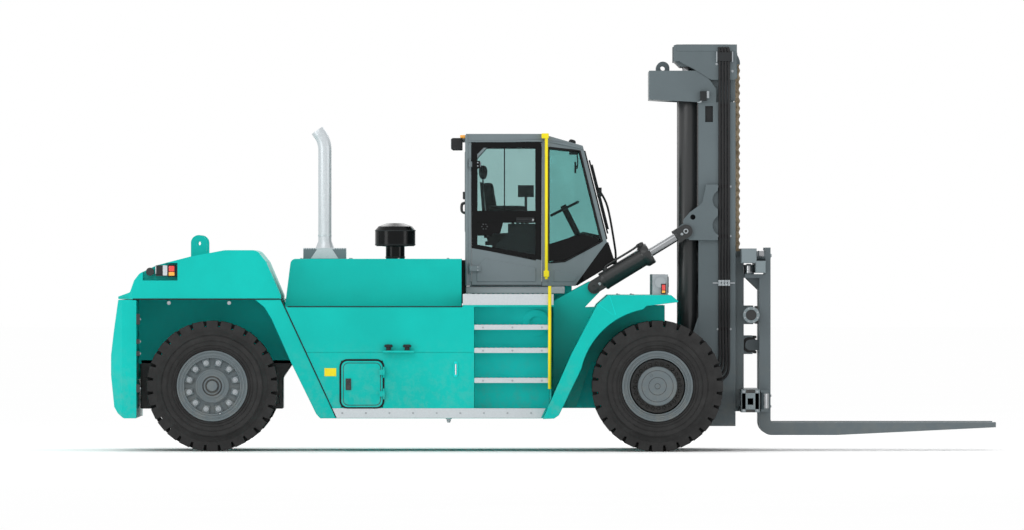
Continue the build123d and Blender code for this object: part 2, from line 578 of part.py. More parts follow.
# A round access boss on the wall behind the steps
BOSS = (STEP_FRONT_X - 172, STEP_Z[0] + 23)
BOSS_R = 150
BOSS_T = 30
steps = block(*LANDING_X, FRAME_Y, SIDE_Y, PANEL_Z, LANDING_Z)
steps += block(STEP_REAR_X, STEP_FRONT_X, STEP_BACK_Y - STEP_WALL, STEP_BACK_Y, TANK_Z, PANEL_Z)
steps += block(STEP_FRONT_X - STEP_WALL, STEP_FRONT_X, STEP_BACK_Y, SIDE_Y, TANK_Z, PANEL_Z)
steps += block(LEG_FOOT[0], STEP_FRONT_X, STEP_BACK_Y - STEP_WALL, SIDE_Y, KICK_Z, TANK_Z)
for z in STEP_Z:
    steps += block(STEP_REAR_X, STEP_FRONT_X, STEP_BACK_Y, SIDE_Y, z - STEP_T, z)
steps -= plate([(FENDER_FOOT[0] - RUNNING_GAP, FENDER_FOOT[1]),
                (FENDER_BACK[0] - RUNNING_GAP, FENDER_BACK[1]),
                (FENDER_BACK[0], FENDER_FOOT[1])], 0, SIDE_Y)
steps += bar_y(BOSS[0], BOSS[1], BOSS_R, STEP_BACK_Y - STEP_WALL, STEP_BACK_Y + BOSS_T)
steps -= bar_y(BOSS[0], BOSS[1], BOSS_R / 2, STEP_BACK_Y, STEP_BACK_Y + BOSS_T + 1)
save_pair("steps", steps)

# Handrails: one from the step's cheek to the landing, one on the cab's post
RAIL_R = 18
RAIL_FOOT = 40
LOW_RAIL = (STEP_FRONT_X - RAIL_R, SIDE_Y + RAIL_FOOT)
low_rail = bar_z(*LOW_RAIL, RAIL_R, STEP_Z[2] - 119, CAB_Z)
for z in (STEP_Z[2] - 62, PANEL_Z + 55):
    low_rail += block(LOW_RAIL[0] - RAIL_R, LOW_RAIL[0] + RAIL_R, SIDE_Y, LOW_RAIL[1], z, z + RAIL_FOOT)
CAB_RAIL = (DOOR_X[1] + 49, CAB_Y + 70)
CAB_RAIL_Z = (CAB_Z + 76, CAB_ROOF_Z - 12)
cab_rail = bar_z(*CAB_RAIL, RAIL_R, *CAB_RAIL_Z)
for z in (CAB_RAIL_Z[0] + RAIL_FOOT, CAB_RAIL_Z[1] - 4 * RAIL_FOOT):
    cab_rail += block(CAB_RAIL[0] - RAIL_R, CAB_RAIL[0] + RAIL_R, CAB_Y, CAB_RAIL[1], z, z + RAIL_FOOT)
save("handrails", low_rail, other_side(low_rail), cab_rail, other_side(cab_rail))

# Cab: a plan outline met by a side outline, made hollow and cut at its real panels
CAB_SIDE = [(CAB_REAR_X, CAB_Z), (240, CAB_Z), (678, 2120), (594, 2365), (324, 3440), (-138, CAB_ROOF_Z),
            (CAB_REAR_X, CAB_ROOF_Z)]
CAB_NOSE_X = 700
NOSE_WINDOW = [(-70, 2120), (121, 2136), (346, 2256), (540, 2362), (290, 3380), (-70, 3417)]
DOOR_WINDOW = [(-875, 2279), (-205, 2143), (-205, 3417), (-760, 3417), (-875, 3290)]
WINDSHIELD_Y = 520
WINDSHIELD_Z = (2400, 3370)
REAR_WINDOW_Y = 600
REAR_WINDOW_Z = (2480, 3360)
FLOOR_Z = CAB_Z + CAB_WALL
GLASS_IN = 20


def cab_solid(inset):
    """The cab's closed form, with every face moved in."""
    half = [(CAB_REAR_X, CAB_Y), (CAB_TAPER_X[0], CAB_Y), (CAB_TAPER_X[1], CAB_NOSE_Y),
            (CAB_NOSE_X, CAB_NOSE_Y)]
    plan = make_face(Polyline(*half, *[(x, -y) for x, y in reversed(half)], close=True))
    side_face = make_face(Polyline(*CAB_SIDE, close=True))
    if inset:
        plan = offset(plan, amount=-inset, kind=Kind.INTERSECTION)
        side_face = offset(side_face, amount=-inset, kind=Kind.INTERSECTION)
    standing = extrude(plan, amount=2 * CAB_ROOF_Z)
    return standing & extrude(Plane.XZ.offset(-2 * CAB_Y) * side_face, amount=4 * CAB_Y)


def inset_cut(points, inset, y0, y1):
    """A window's cutter, or with an inset the shape of its pane."""
    face = make_face(Polyline(*points, close=True))
    if inset:
        face = offset(face, amount=-inset, kind=Kind.INTERSECTION)
    return extrude(Plane.XZ.offset(-y1) * face, amount=y1 - y0)


def facing_cut(half_y, z0, z1, x0, x1, inset):
    return block(x0, x1, inset - half_y, half_y - inset, z0 + inset, z1 - inset)


WIDE = 2 * CAB_Y
hollow = cab_solid(CAB_WALL)
shell = cab_solid(0) - hollow
pane_layer = cab_solid(GLASS_IN) - cab_solid(GLASS_IN + GLASS)
SIDE_CUT_Y = CAB_NOSE_Y - 2 * CAB_WALL
door_outline = [(DOOR_X[0], DOOR_Z[0]), (DOOR_X[1], DOOR_Z[0]),
                (DOOR_X[1], DOOR_Z[1]), (DOOR_X[0], DOOR_Z[1])]
screen = (WINDSHIELD_Y, *WINDSHIELD_Z, CAB_TAPER_X[0], CAB_NOSE_X)
rear_light = (REAR_WINDOW_Y, *REAR_WINDOW_Z, CAB_REAR_X - 1, CAB_REAR_X + CAB_WALL + 1)
body = shell - facing_cut(*screen, 0) - facing_cut(*rear_light, 0)
panes = (pane_layer & facing_cut(*screen, SEAT_GAP)).solids()
panes += (pane_layer & facing_cut(*rear_light, SEAT_GAP)).solids()
for y0, y1 in ((SIDE_CUT_Y, WIDE), (-WIDE, -SIDE_CUT_Y)):
    body -= inset_cut(NOSE_WINDOW, 0, y0, y1)
    panes += (pane_layer & inset_cut(NOSE_WINDOW, SEAT_GAP, y0, y1)).solids()
for y0, y1 in ((CAB_Y - CAB_WALL, WIDE), (-WIDE, CAB_WALL - CAB_Y)):
    body -= inset_cut(door_outline, 0, y0, y1)
save("cab_glass", *panes)

above = block(-WIDE, WIDE, -WIDE, WIDE, DOOR_Z[1], 2 * CAB_ROOF_Z)
below = block(-WIDE, WIDE, -WIDE, WIDE, 0, FLOOR_Z)
behind = block(-WIDE, DOOR_X[0], -WIDE, WIDE, FLOOR_Z, DOOR_Z[1])
# Work lamps on arms behind the roof, one at each corner
WORK_LAMP_Y = (500, 620)
WORK_LAMP_X = (CAB_REAR_X - 150, CAB_REAR_X - 50)
WORK_LAMP_Z = (CAB_ROOF_Z - 170, CAB_ROOF_Z - 50)
LAMP_ARM = 36
lamp_mid_y = sum(WORK_LAMP_Y) / 2
work_lamp = block(*WORK_LAMP_X, *WORK_LAMP_Y, *WORK_LAMP_Z)
work_lamp += block(WORK_LAMP_X[1] - 1, CAB_REAR_X, lamp_mid_y - LAMP_ARM / 2, lamp_mid_y + LAMP_ARM / 2,
                   WORK_LAMP_Z[1] - LAMP_ARM, WORK_LAMP_Z[1])
save("cab_roof", (body & above) + work_lamp + other_side(work_lamp))
save("cab_floor", body & below)
save("cab_frame", body - above - below - behind)

# Doors, hinged at their rear edge on the cab's rear corners
DOOR_HINGE_X = DOOR_X[0] - 10
DOOR_HINGE_Y = CAB_Y + KNUCKLE_TUBE_R + RUNNING_GAP
DOOR_HINGE_Z = (3229, 2053)
rear_wall = body & behind
left_cut = (CAB_Y - CAB_WALL, WIDE)
door = shell & inset_cut(door_outline, RUNNING_GAP, *left_cut)
door -= inset_cut(DOOR_WINDOW, 0, *left_cut)
for z in DOOR_HINGE_Z:
    fixed, leaf = hinge(DOOR_HINGE_X, DOOR_HINGE_Y, z, CAB_Y, CAB_Y, DOOR_X[0] + 12 * HINGE_R)
    rear_wall += fixed + other_side(fixed)
    leaf -= block(-WIDE, DOOR_X[0] + RUNNING_GAP, 0, CAB_Y + RUNNING_GAP, z - HINGE_L, z + HINGE_L)
    door = door + leaf - bar_z(DOOR_HINGE_X, DOOR_HINGE_Y, HINGE_R + PIN_PLAY, z - HINGE_L, z + HINGE_L)
door_glass = pane_layer & inset_cut(DOOR_WINDOW, SEAT_GAP, *left_cut)
save("cab_rear_wall", rear_wall)
for side, place in (("left", lambda s: s), ("right", other_side)):
    save(f"door_{side}", place(door))
    save(f"door_glass_{side}", place(door_glass))

# Seat on its pedestal, and the dashboard with the steering column
SEAT_Y = 250
seat = block(-700, -420, -SEAT_Y * 0.7, SEAT_Y * 0.7, FLOOR_Z, 2330)
seat += block(-770, -280, -SEAT_Y, SEAT_Y, 2330, 2480)
seat += plate([(-770, 2440, 30), (-610, 2440), (-680, 3040, 40), (-830, 3040, 40)], -SEAT_Y, SEAT_Y)
seat += block(-800, -770, -60, 60, 3000, 3100) + plate(
    [(-835, 3056, 30), (-739, 3056, 30), (-751, 3236, 30), (-847, 3236, 30)], -SEAT_Y * 0.6, SEAT_Y * 0.6)
for sign in (-1, 1):
    arm_y = sorted((sign * SEAT_Y, sign * (SEAT_Y + 70)))
    seat += plate([(-740, 2714), (-309, 2714, 20), (-309, 2770, 20), (-740, 2770)], *arm_y)
save("seat", seat)

WHEEL_AT = (121, 2732)
COLUMN_FOOT = (267, 2443)
STEERING_R = 168
STEERING_GRIP = 15
DASH_Y = 480
lean = math.degrees(math.atan2(COLUMN_FOOT[0] - WHEEL_AT[0], WHEEL_AT[1] - COLUMN_FOOT[1]))
column_l = math.dist(WHEEL_AT, COLUMN_FOOT)
wheel = Torus(STEERING_R, STEERING_GRIP) + Cylinder(50, 30) + Box(2 * STEERING_R, 40, 16)
wheel += Pos(0, 0, -column_l / 2) * Cylinder(35, column_l + 80)
DASH_SIDE = [(150, FLOOR_Z), (150, 2380), (330, 2470), (CAB_NOSE_X, 2390), (CAB_NOSE_X, FLOOR_Z)]
dash = hollow & plate(DASH_SIDE, -DASH_Y, DASH_Y)
dash += Pos(WHEEL_AT[0], 0, WHEEL_AT[1]) * Rot(0, -lean, 0) * wheel
# Console beside the seat, and the monitor on its post, turned towards the seat
CONSOLE_X = (-520, -180)
CONSOLE_Y = (-680, -420)
CONSOLE_Z = 2560
MONITOR_X = (-408, -228)
MONITOR_Y = (-600, -560)
MONITOR_Z = (2860, 2995)
POST = 30
post_x = sum(MONITOR_X) / 2
console = block(*CONSOLE_X, *CONSOLE_Y, FLOOR_Z, CONSOLE_Z)
console += block(post_x - POST / 2, post_x + POST / 2, *MONITOR_Y, CONSOLE_Z, MONITOR_Z[0] + 1)
console += block(*MONITOR_X, *MONITOR_Y, *MONITOR_Z)
save("dashboard", dash, console)

# Outer mast: two channels that open inwards, with the pivot's ear and the tilt cylinder's bracket on each
BRACKET_Y = (UPRIGHT_Y[1], 2 * TILT_Y - UPRIGHT_Y[1])
TILT_DRIFT = 8
upright = block(*UPRIGHT_X, *UPRIGHT_Y, *UPRIGHT_Z)
upright -= block(UPRIGHT_X[0] + UPRIGHT_FLANGE, UPRIGHT_X[1] - UPRIGHT_FLANGE, UPRIGHT_Y[0] - 1,
                 UPRIGHT_Y[1] - UPRIGHT_WEB, UPRIGHT_Z[0] - 1, UPRIGHT_Z[1] + 1)
# A slot near the top of each upright's web gives a view of the chain anchors
WINDOW_X = (UPRIGHT_X[0] + 76, UPRIGHT_X[0] + 163)
WINDOW_Z = (MAST_Z - 224, MAST_Z - 43)
upright -= block(*WINDOW_X, UPRIGHT_Y[0], UPRIGHT_Y[1] + 1, *WINDOW_Z)
ear_x = PIVOT[0] - 1.5 * PIVOT_R
upright += plate([(UPRIGHT_X[0] + 1, PIVOT[1] + 720), (UPRIGHT_X[0] + 1, PIVOT[1] - 380),
                  (ear_x, PIVOT[1] - PIVOT_R), (ear_x, PIVOT[1] + 80)], *EAR_Y)
upright += bar_y(*PIVOT, 2 * PIVOT_R, *EAR_Y)
upright -= bar_y(*PIVOT, PIVOT_R + PIN_PLAY, *EAR_Y)
BRACKET_FRONT_X = UPRIGHT_X[0] + 218
SCALLOP_R = 120
SCALLOP_IN = 60
EYE_X, EYE_Z = TILT_EYE
bracket = plate([(EYE_X + 226, EYE_Z + 526), (BRACKET_FRONT_X, EYE_Z + 526), (BRACKET_FRONT_X, EYE_Z - 100),
                 (EYE_X + 35, EYE_Z - 100), (EYE_X - 35, EYE_Z + 119, 40), (EYE_X + 44, EYE_Z + 213),
                 (EYE_X + 184, EYE_Z + 315, 60), (EYE_X + 221, EYE_Z + 484)], *BRACKET_Y)
bracket += bar_y(*TILT_EYE, 1.2 * TILT_EYE_R, *BRACKET_Y)
bracket -= bar_y(EYE_X + 79, EYE_Z + 159, 30, *BRACKET_Y)
for z in (EYE_Z + 66, EYE_Z + 353):
    bracket -= bar_y(BRACKET_FRONT_X + SCALLOP_R - SCALLOP_IN, z, SCALLOP_R, *BRACKET_Y)
bracket -= bar_y(*TILT_EYE, TILT_PIN_R + TILT_DRIFT, *BRACKET_Y)
save_pair("outer_uprights", upright + bracket)

# Beams between the outer uprights: foot, middle, chain anchor and top, the top one with two lifting eyes
BEAM_T = UPRIGHT_FLANGE
TOP_Z = MAST_Z + 356
TOP_FOOT_Z = MAST_Z + 30
TOP_REAR_X = UPRIGHT_X[0] - 557
TOP_BOX_X = UPRIGHT_X[0] - 248
ANCHOR_Z = (MAST_Z + 60, MAST_Z + 130)
FOOT_T = 52
LOWER_BEAM_H = 342
MIDDLE_BEAM_Z = (2250, 2500)
EYE_AT = (TOP_REAR_X + 159, TOP_Z + 32)
EYE_OUT_R = 75
EYE_Y = (290, 330)
beam_x = (UPRIGHT_X[0], UPRIGHT_X[0] + BEAM_T)
foot_y = LIFT_Y + LIFT_BARREL_R
lower = block(*beam_x, -UPRIGHT_Y[0], UPRIGHT_Y[0], UPRIGHT_Z[0], UPRIGHT_Z[0] + LOWER_BEAM_H)
lower += block(LIFT_X - LIFT_BARREL_R, beam_x[0], -foot_y, foot_y, UPRIGHT_Z[0], UPRIGHT_Z[0] + FOOT_T)
middle = block(*beam_x, -UPRIGHT_Y[0], UPRIGHT_Y[0], *MIDDLE_BEAM_Z)
web_y = UPRIGHT_Y[1] - UPRIGHT_WEB
top = block(TOP_REAR_X, TOP_BOX_X, -UPRIGHT_Y[1], UPRIGHT_Y[1], TOP_FOOT_Z, TOP_Z)
top += block(*beam_x, -web_y - 1, web_y + 1, MAST_Z, ANCHOR_Z[1])
cheek_x = UPRIGHT_X[0] + 202
cheek = plate([(TOP_REAR_X, TOP_FOOT_Z), (UPRIGHT_X[0], MAST_Z), (cheek_x, MAST_Z), (cheek_x, MAST_Z + 150),
               (beam_x[1], TOP_Z), (TOP_REAR_X, TOP_Z)], web_y, UPRIGHT_Y[1])
anchor_x = SHEAVE[0] - SHEAVE_R - CHAIN
anchor = block(beam_x[1] - 1, anchor_x + CHAIN + 6, CHAIN_Y - CHAIN_W, CHAIN_Y + CHAIN_W, *ANCHOR_Z)
eye = bar_y(*EYE_AT, EYE_OUT_R, *EYE_Y)
eye += block(EYE_AT[0] - EYE_OUT_R, EYE_AT[0] + EYE_OUT_R, *EYE_Y, TOP_Z - 86, EYE_AT[1])
eye = eye - top - bar_y(*EYE_AT, EYE_R, EYE_Y[0] - 1, EYE_Y[1] + 1)
for part in (cheek, anchor):
    top += part + other_side(part)
save("outer_crossbeams", lower, middle, top)
save_pair("mast_eyes", eye)

# Lift cylinders on the foot, and hoses clamped to the outer face of each upright
LIFT_TOP_Z = MAST_Z + 20
barrel = bar_z(LIFT_X, LIFT_Y, LIFT_BARREL_R, UPRIGHT_Z[0] + FOOT_T, LIFT_TOP_Z)
LIFT_FLOOR_Z = UPRIGHT_Z[0] + 2 * FOOT_T
barrel -= bar_z(LIFT_X, LIFT_Y, LIFT_ROD_R + PIN_PLAY, LIFT_FLOOR_Z, LIFT_TOP_Z + 1)
save_pair("lift_cylinders", barrel)
HOSE_R = 15
HOSE_COUNT = 4
HOSE_PITCH = 34
HOSE_X = [BRACKET_FRONT_X + 21 + k * HOSE_PITCH for k in range(HOSE_COUNT)]
HOSE_Z = (PIVOT[1] + 390, MAST_Z - 40)
CLAMP_H = 40
CLAMP_Z = (1351, 2400, 2960, MAST_Z - 60)
hose_y = UPRIGHT_Y[1] + HOSE_R + SEAT_GAP
hoses = None
for z in CLAMP_Z:
    clamp = block(HOSE_X[0] - HOSE_R, HOSE_X[-1] + HOSE_R, UPRIGHT_Y[1], hose_y, z, z + CLAMP_H)
    hoses = clamp if hoses is None else hoses + clamp
for x in HOSE_X:
    hoses += bar_z(x, hose_y, HOSE_R, *HOSE_Z)
save_pair("mast_hoses", hoses)

# Inner mast: channels nested in the outer ones, tied by two beams and the crosshead with its sheaves
INNER_FLANGE = 45
INNER_WEB = 40
inner_x = (UPRIGHT_X[0] + UPRIGHT_FLANGE + ROLL_GAP, UPRIGHT_X[1] - UPRIGHT_FLANGE - ROLL_GAP)
inner = block(*inner_x, *INNER_Y, *INNER_Z)
inner -= block(inner_x[0] + INNER_FLANGE, inner_x[1] - INNER_FLANGE, INNER_Y[0] - 1, INNER_Y[1] - INNER_WEB,
               INNER_Z[0] - 1, INNER_Z[1] + 1)
inner_beam_x = (inner_x[0], inner_x[0] + INNER_FLANGE)
INNER_BEAM_Z = ((INNER_Z[0], INNER_Z[0] + 270), (1760, 2010))
inner_beams = [block(*inner_beam_x, -INNER_Y[0], INNER_Y[0], *z) for z in INNER_BEAM_Z]
save("inner_uprights", inner, other_side(inner), *inner_beams)

ROD_SEAT_Z = INNER_Z[1] + 150
HEAD_REAR_X = LIFT_X - 152
HEAD_FRONT_X = UPRIGHT_X[1] + 21
HEAD_R = 60
head = plate([(HEAD_REAR_X, ROD_SEAT_Z + 63), (LIFT_X - 88, ROD_SEAT_Z), (LIFT_X + 77, ROD_SEAT_Z),
              (SHEAVE[0] - 69, INNER_Z[1]), (HEAD_FRONT_X - 47, INNER_Z[1]), (HEAD_FRONT_X, INNER_Z[1] + 20),
              (HEAD_FRONT_X, HEAD_TOP_Z - 83, HEAD_R), (HEAD_FRONT_X - 87, HEAD_TOP_Z, HEAD_R),
              (HEAD_REAR_X + 79, HEAD_TOP_Z, HEAD_R), (HEAD_REAR_X, HEAD_TOP_Z - 63, HEAD_R)],
             -INNER_Y[1], INNER_Y[1])
for sign in (-1, 1):
    slot_y = sorted((sign * (CHAIN_Y - CHAIN_W), sign * (CHAIN_Y + CHAIN_W)))
    head -= block(anchor_x - ROLL_GAP, UPRIGHT_X[1] + CHAIN + ROLL_GAP, *slot_y, INNER_Z[1] - 1,
                  SHEAVE[1] + SHEAVE_R + CHAIN + RUNNING_GAP)
    sheave_y = (sign * CHAIN_Y - CHAIN_W / 2, sign * CHAIN_Y + CHAIN_W / 2)
    head += bar_y(*SHEAVE, SHEAVE_R - SEAT_GAP, *sheave_y) + bar_y(*SHEAVE, SHEAVE_R / 3, *slot_y)
chain_y = (CHAIN_Y - CHAIN_W / 2, CHAIN_Y + CHAIN_W / 2)
wrap = bar_y(*SHEAVE, SHEAVE_R + CHAIN, *chain_y) - bar_y(*SHEAVE, SHEAVE_R, *chain_y)
wrap -= block(SHEAVE[0] - 2 * SHEAVE_R, SHEAVE[0] + 2 * SHEAVE_R, *chain_y,
              SHEAVE[1] - 2 * SHEAVE_R, SHEAVE[1])


def leaf_chain(x, z0, z1):
    """A straight run of leaf chain: round link plates that narrow to a waist between their pins."""
    count = max(1, round((z1 - z0) / CHAIN_PITCH))
    pitch = (z1 - z0) / count
    waist_x = x + CHAIN - CHAIN_WAIST
    front_edge = []
    for k in range(count):
        z = z0 + k * pitch
        front_edge += [(waist_x, z), (x + CHAIN, z + pitch / 4), (x + CHAIN, z + pitch * 3 / 4)]
    front_edge.append((waist_x, z1))
    rear_edge = [(2 * x + CHAIN - px, pz) for px, pz in reversed(front_edge)]
    return plate(front_edge + rear_edge, *chain_y)


save("crosshead", head, wrap, other_side(wrap))
save_pair("lift_rods", bar_z(LIFT_X, LIFT_Y, LIFT_ROD_R, LIFT_FLOOR_Z + RUNNING_GAP, ROD_SEAT_Z))
save_pair("chain_front", leaf_chain(UPRIGHT_X[1], CHAIN_FOOT_Z, SHEAVE[1]))
save_pair("chain_rear", leaf_chain(anchor_x, ANCHOR_Z[1], SHEAVE[1]))

# Carriage: side plates with rollers in the inner channels, two cross rails and saddles for the positioners
ROLLER_Z = (640, 1700)
ROLLER_X = (inner_x[0] + inner_x[1]) / 2
ROLLER_R = (inner_x[1] - inner_x[0]) / 2 - INNER_FLANGE - RUNNING_GAP
PLATE_X = (ahead(-11), ahead(96))
PLATE_NOSE_X = ahead(14)
UPPER_BEAM_X = (ahead(59), ahead(228))
UPPER_BEAM_Z = (2115, 2280)
SADDLE_X = ahead(204)
TUBE_OUT_Y = 1000
TUBE_END = 30
SADDLE_H = 105
KEEL_Y = 15
carriage = block(*HOOK_RAIL_X, -RAIL_Y, RAIL_Y, *HOOK_RAIL_Z)
carriage += block(*LOW_RAIL_X, -RAIL_Y, RAIL_Y, *LOW_RAIL_Z)
carriage += block(*UPPER_BEAM_X, -RAIL_Y, RAIL_Y, *UPPER_BEAM_Z)
carriage += block(*PLATE_X, -KEEL_Y, KEEL_Y, LOW_RAIL_Z[0], UPPER_BEAM_Z[0] + 1)
SIDE_PLATE_Z = (LOW_RAIL_Z[0] + 60, UPPER_BEAM_Z[0] + 72)
plate_foot, plate_top = SIDE_PLATE_Z
side_plate = plate([(PLATE_X[0], plate_foot + 62), (PLATE_NOSE_X, plate_foot), (PLATE_X[1], plate_foot),
                    (PLATE_X[1], plate_top), (PLATE_NOSE_X, plate_top), (PLATE_X[0], plate_top - 67)], *PLATE_Y)
for z in ROLLER_Z:
    side_plate += block(ROLLER_X - ROLLER_R, PLATE_X[0] + 1, *PLATE_Y, z - ROLLER_R, z + ROLLER_R)
    side_plate += bar_y(ROLLER_X, z, ROLLER_R, PLATE_Y[1], INNER_Y[1] - INNER_WEB - RUNNING_GAP)
carriage += side_plate + other_side(side_plate)
hitch = block(PLATE_X[0], UPPER_BEAM_X[1], *chain_y, UPPER_BEAM_Z[0], CHAIN_FOOT_Z)
carriage += hitch + other_side(hitch)
barrels = []
for sign, z in zip((-1, 1), POSITIONER_Z):
    saddle_y = sorted((sign * PLATE_Y[0], sign * PLATE_Y[1]))
    for y in (saddle_y, (-KEEL_Y, KEEL_Y)):
        carriage += block(PLATE_X[1] - 1, SADDLE_X, *y, z - SADDLE_H, z + SADDLE_H)
    far, near = sign * TUBE_OUT_Y, -sign * KEEL_Y
    tube_y = sorted((far, near))
    carriage -= bar_y(POSITIONER_X, z, POSITIONER_R + SEAT_GAP, *tube_y)
    bore_y = sorted((far - sign * TUBE_END, near))
    tube = bar_y(POSITIONER_X, z, POSITIONER_R, *tube_y)
    barrels.append(tube - bar_y(POSITIONER_X, z, POSITIONER_ROD_R + PIN_PLAY, *bore_y))
save("carriage_frame", carriage)
save("positioner_cylinders", *barrels)

# Forks: a shank and a tapered blade in one outline, hung by rollers on the hook rail
FORK_HEEL = 140
FORK_INNER_R = 35
FORK_FOOT_Z = 177
FORK_TAPER_X = FORK_X[1] + 744
FORK_TIP_Z = 265
HOOK_TOP_Z = 2291
HOOK_Z = (1948, 1991)
HOOK_REAR_X = ahead(104)
TOP_ROLLER_R = 56
TOP_ROLLER_X = ahead(254)
REAR_ROLLER_R = 48
REAR_ROLLER_X = ahead(160)
REAR_ROLLER_TOP_Z = 2097
GUIDE_Z = (440, 684)
GUIDE_R = 42
GUIDE_T = 28
CLEVIS_W = 60
ROD_INNER_Y = -520
hook_x = HOOK_RAIL_X[1] + RUNNING_GAP


def fork(rod_z):
    """The left fork, with the rod of its own positioner."""
    y0, y1 = FORK_Y - FORK_W / 2, FORK_Y + FORK_W / 2
    shape = plate([(FORK_X[0], HOOK_Z[1]), (hook_x, HOOK_Z[1]), (hook_x, HOOK_TOP_Z), (FORK_X[1], HOOK_TOP_Z),
                   (FORK_X[1], FORK_TOP_Z, FORK_INNER_R), (FORK_TIP_X, FORK_TOP_Z), (FORK_TIP_X, FORK_TIP_Z),
                   (FORK_TAPER_X, FORK_FOOT_Z), (FORK_X[0], FORK_FOOT_Z, FORK_HEEL)], y0, y1)
    shape += block(HOOK_REAR_X, FORK_X[1], y0, y1, *HOOK_Z)
    gusset_z = HOOK_Z[0] + 1
    shape += plate([(HOOK_REAR_X + 20, gusset_z), (FORK_X[0] + 1, gusset_z), (FORK_X[0] + 1, gusset_z - 140)],
                   FORK_Y - CLEVIS_W / 2, FORK_Y + CLEVIS_W / 2)
    top_z = HOOK_RAIL_Z[1] + SEAT_GAP + TOP_ROLLER_R
    for y in (y0 + TOP_ROLLER_R, y1 - TOP_ROLLER_R):
        roller = Cylinder(TOP_ROLLER_R, hook_x - TOP_ROLLER_X)
        shape += Pos((TOP_ROLLER_X + hook_x) / 2, y, top_z) * Rot(0, 90, 0) * roller
        shape += bar_z(REAR_ROLLER_X, y, REAR_ROLLER_R, HOOK_Z[1], REAR_ROLLER_TOP_Z)
    guide_y = y1 + TOP_ROLLER_R
    guide_x = sum(FORK_X) / 2 - RUNNING_GAP
    for z in (GUIDE_Z[0], GUIDE_Z[1] - GUIDE_T):
        shape += block(guide_x - GUIDE_R, guide_x + GUIDE_R, y1 - 1, guide_y + GUIDE_R, z, z + GUIDE_T)
    shape += bar_z(guide_x, guide_y, GUIDE_R, GUIDE_Z[0] + 1, GUIDE_Z[1] - 1)
    shape += block(POSITIONER_X, FORK_X[0] + 1, y0, y0 + CLEVIS_W, rod_z - CLEVIS_W, rod_z + CLEVIS_W)
    shape += bar_y(POSITIONER_X, rod_z, CLEVIS_W, y0, y0 + CLEVIS_W)
    return shape + bar_y(POSITIONER_X, rod_z, POSITIONER_ROD_R, ROD_INNER_Y, y0 + 1)


save("fork_left", fork(POSITIONER_Z[0]))
save("fork_right", other_side(fork(POSITIONER_Z[1])))

# Tilt cylinders, made along X from the chassis pin and then laid on the line to the mast's eye
tilt_l = math.dist(TILT_PIN, TILT_EYE)
tilt_angle = math.degrees(math.atan2(TILT_EYE[1] - TILT_PIN[1], TILT_EYE[0] - TILT_PIN[0]))
BARREL_FROM = 150
BORE_FROM = 200
ROD_FROM = 480
GLAND_L = 80


def bar_x(r, x0, x1):
    return Pos((x0 + x1) / 2, 0, 0) * Rot(0, 90, 0) * Cylinder(r, x1 - x0)


def clevis(x, toward, inside, cheek, r):
    """Two cheeks round an eye at x, reaching to a bridge on the side of toward."""
    shape = bar_x(r, *sorted((x + toward * 1.3 * r, x + toward * 1.3 * r + toward * cheek)))
    for sign in (-1, 1):
        y = sorted((sign * inside, sign * (inside + cheek)))
        shape += block(*sorted((x, x + toward * (1.3 * r + cheek))), *y, -r, r) + bar_y(x, 0, r, *y)
    return shape


on_line = Pos(TILT_PIN[0], TILT_Y, TILT_PIN[1]) * Rot(0, -tilt_angle, 0)
tilt_barrel = bar_x(TILT_BARREL_R, BARREL_FROM - TILT_CHEEK, TILT_GLAND_AT)
tilt_barrel += bar_x(TILT_GLAND_R, TILT_GLAND_AT - GLAND_L, TILT_GLAND_AT)
tilt_barrel += clevis(0, 1, ARCH_WALL / 2 + RUNNING_GAP, TILT_CHEEK, TILT_EYE_R)
tilt_barrel -= bar_x(TILT_ROD_R + PIN_PLAY, BORE_FROM, TILT_GLAND_AT + 1)
tilt_barrel -= bar_y(0, 0, TILT_PIN_R + PIN_PLAY, -TILT_EYE_R, TILT_EYE_R)
half_plate = (BRACKET_Y[1] - BRACKET_Y[0]) / 2
tilt_rod = bar_x(TILT_ROD_R, ROD_FROM, tilt_l - TILT_EYE_R - TILT_CHEEK)
tilt_rod += clevis(tilt_l, -1, half_plate + RUNNING_GAP, TILT_CHEEK, TILT_EYE_R)
eye_half = half_plate + RUNNING_GAP + TILT_CHEEK
tilt_rod += bar_y(tilt_l, 0, TILT_PIN_R, -eye_half, eye_half)
for side, place in (("left", lambda s: s), ("right", other_side)):
    save(f"tilt_barrel_{side}", place(on_line * tilt_barrel))
    save(f"tilt_rod_{side}", place(on_line * tilt_rod))
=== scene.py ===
# %% [markdown]
# A heavy forklift truck, dressed for its portrait.
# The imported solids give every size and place. This lesson paints them, rounds their edges and adds the
# small pieces that a solid model leaves out, such as tyre treads, bolts, lamps, wipers and the seat.

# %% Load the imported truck
import math
import time

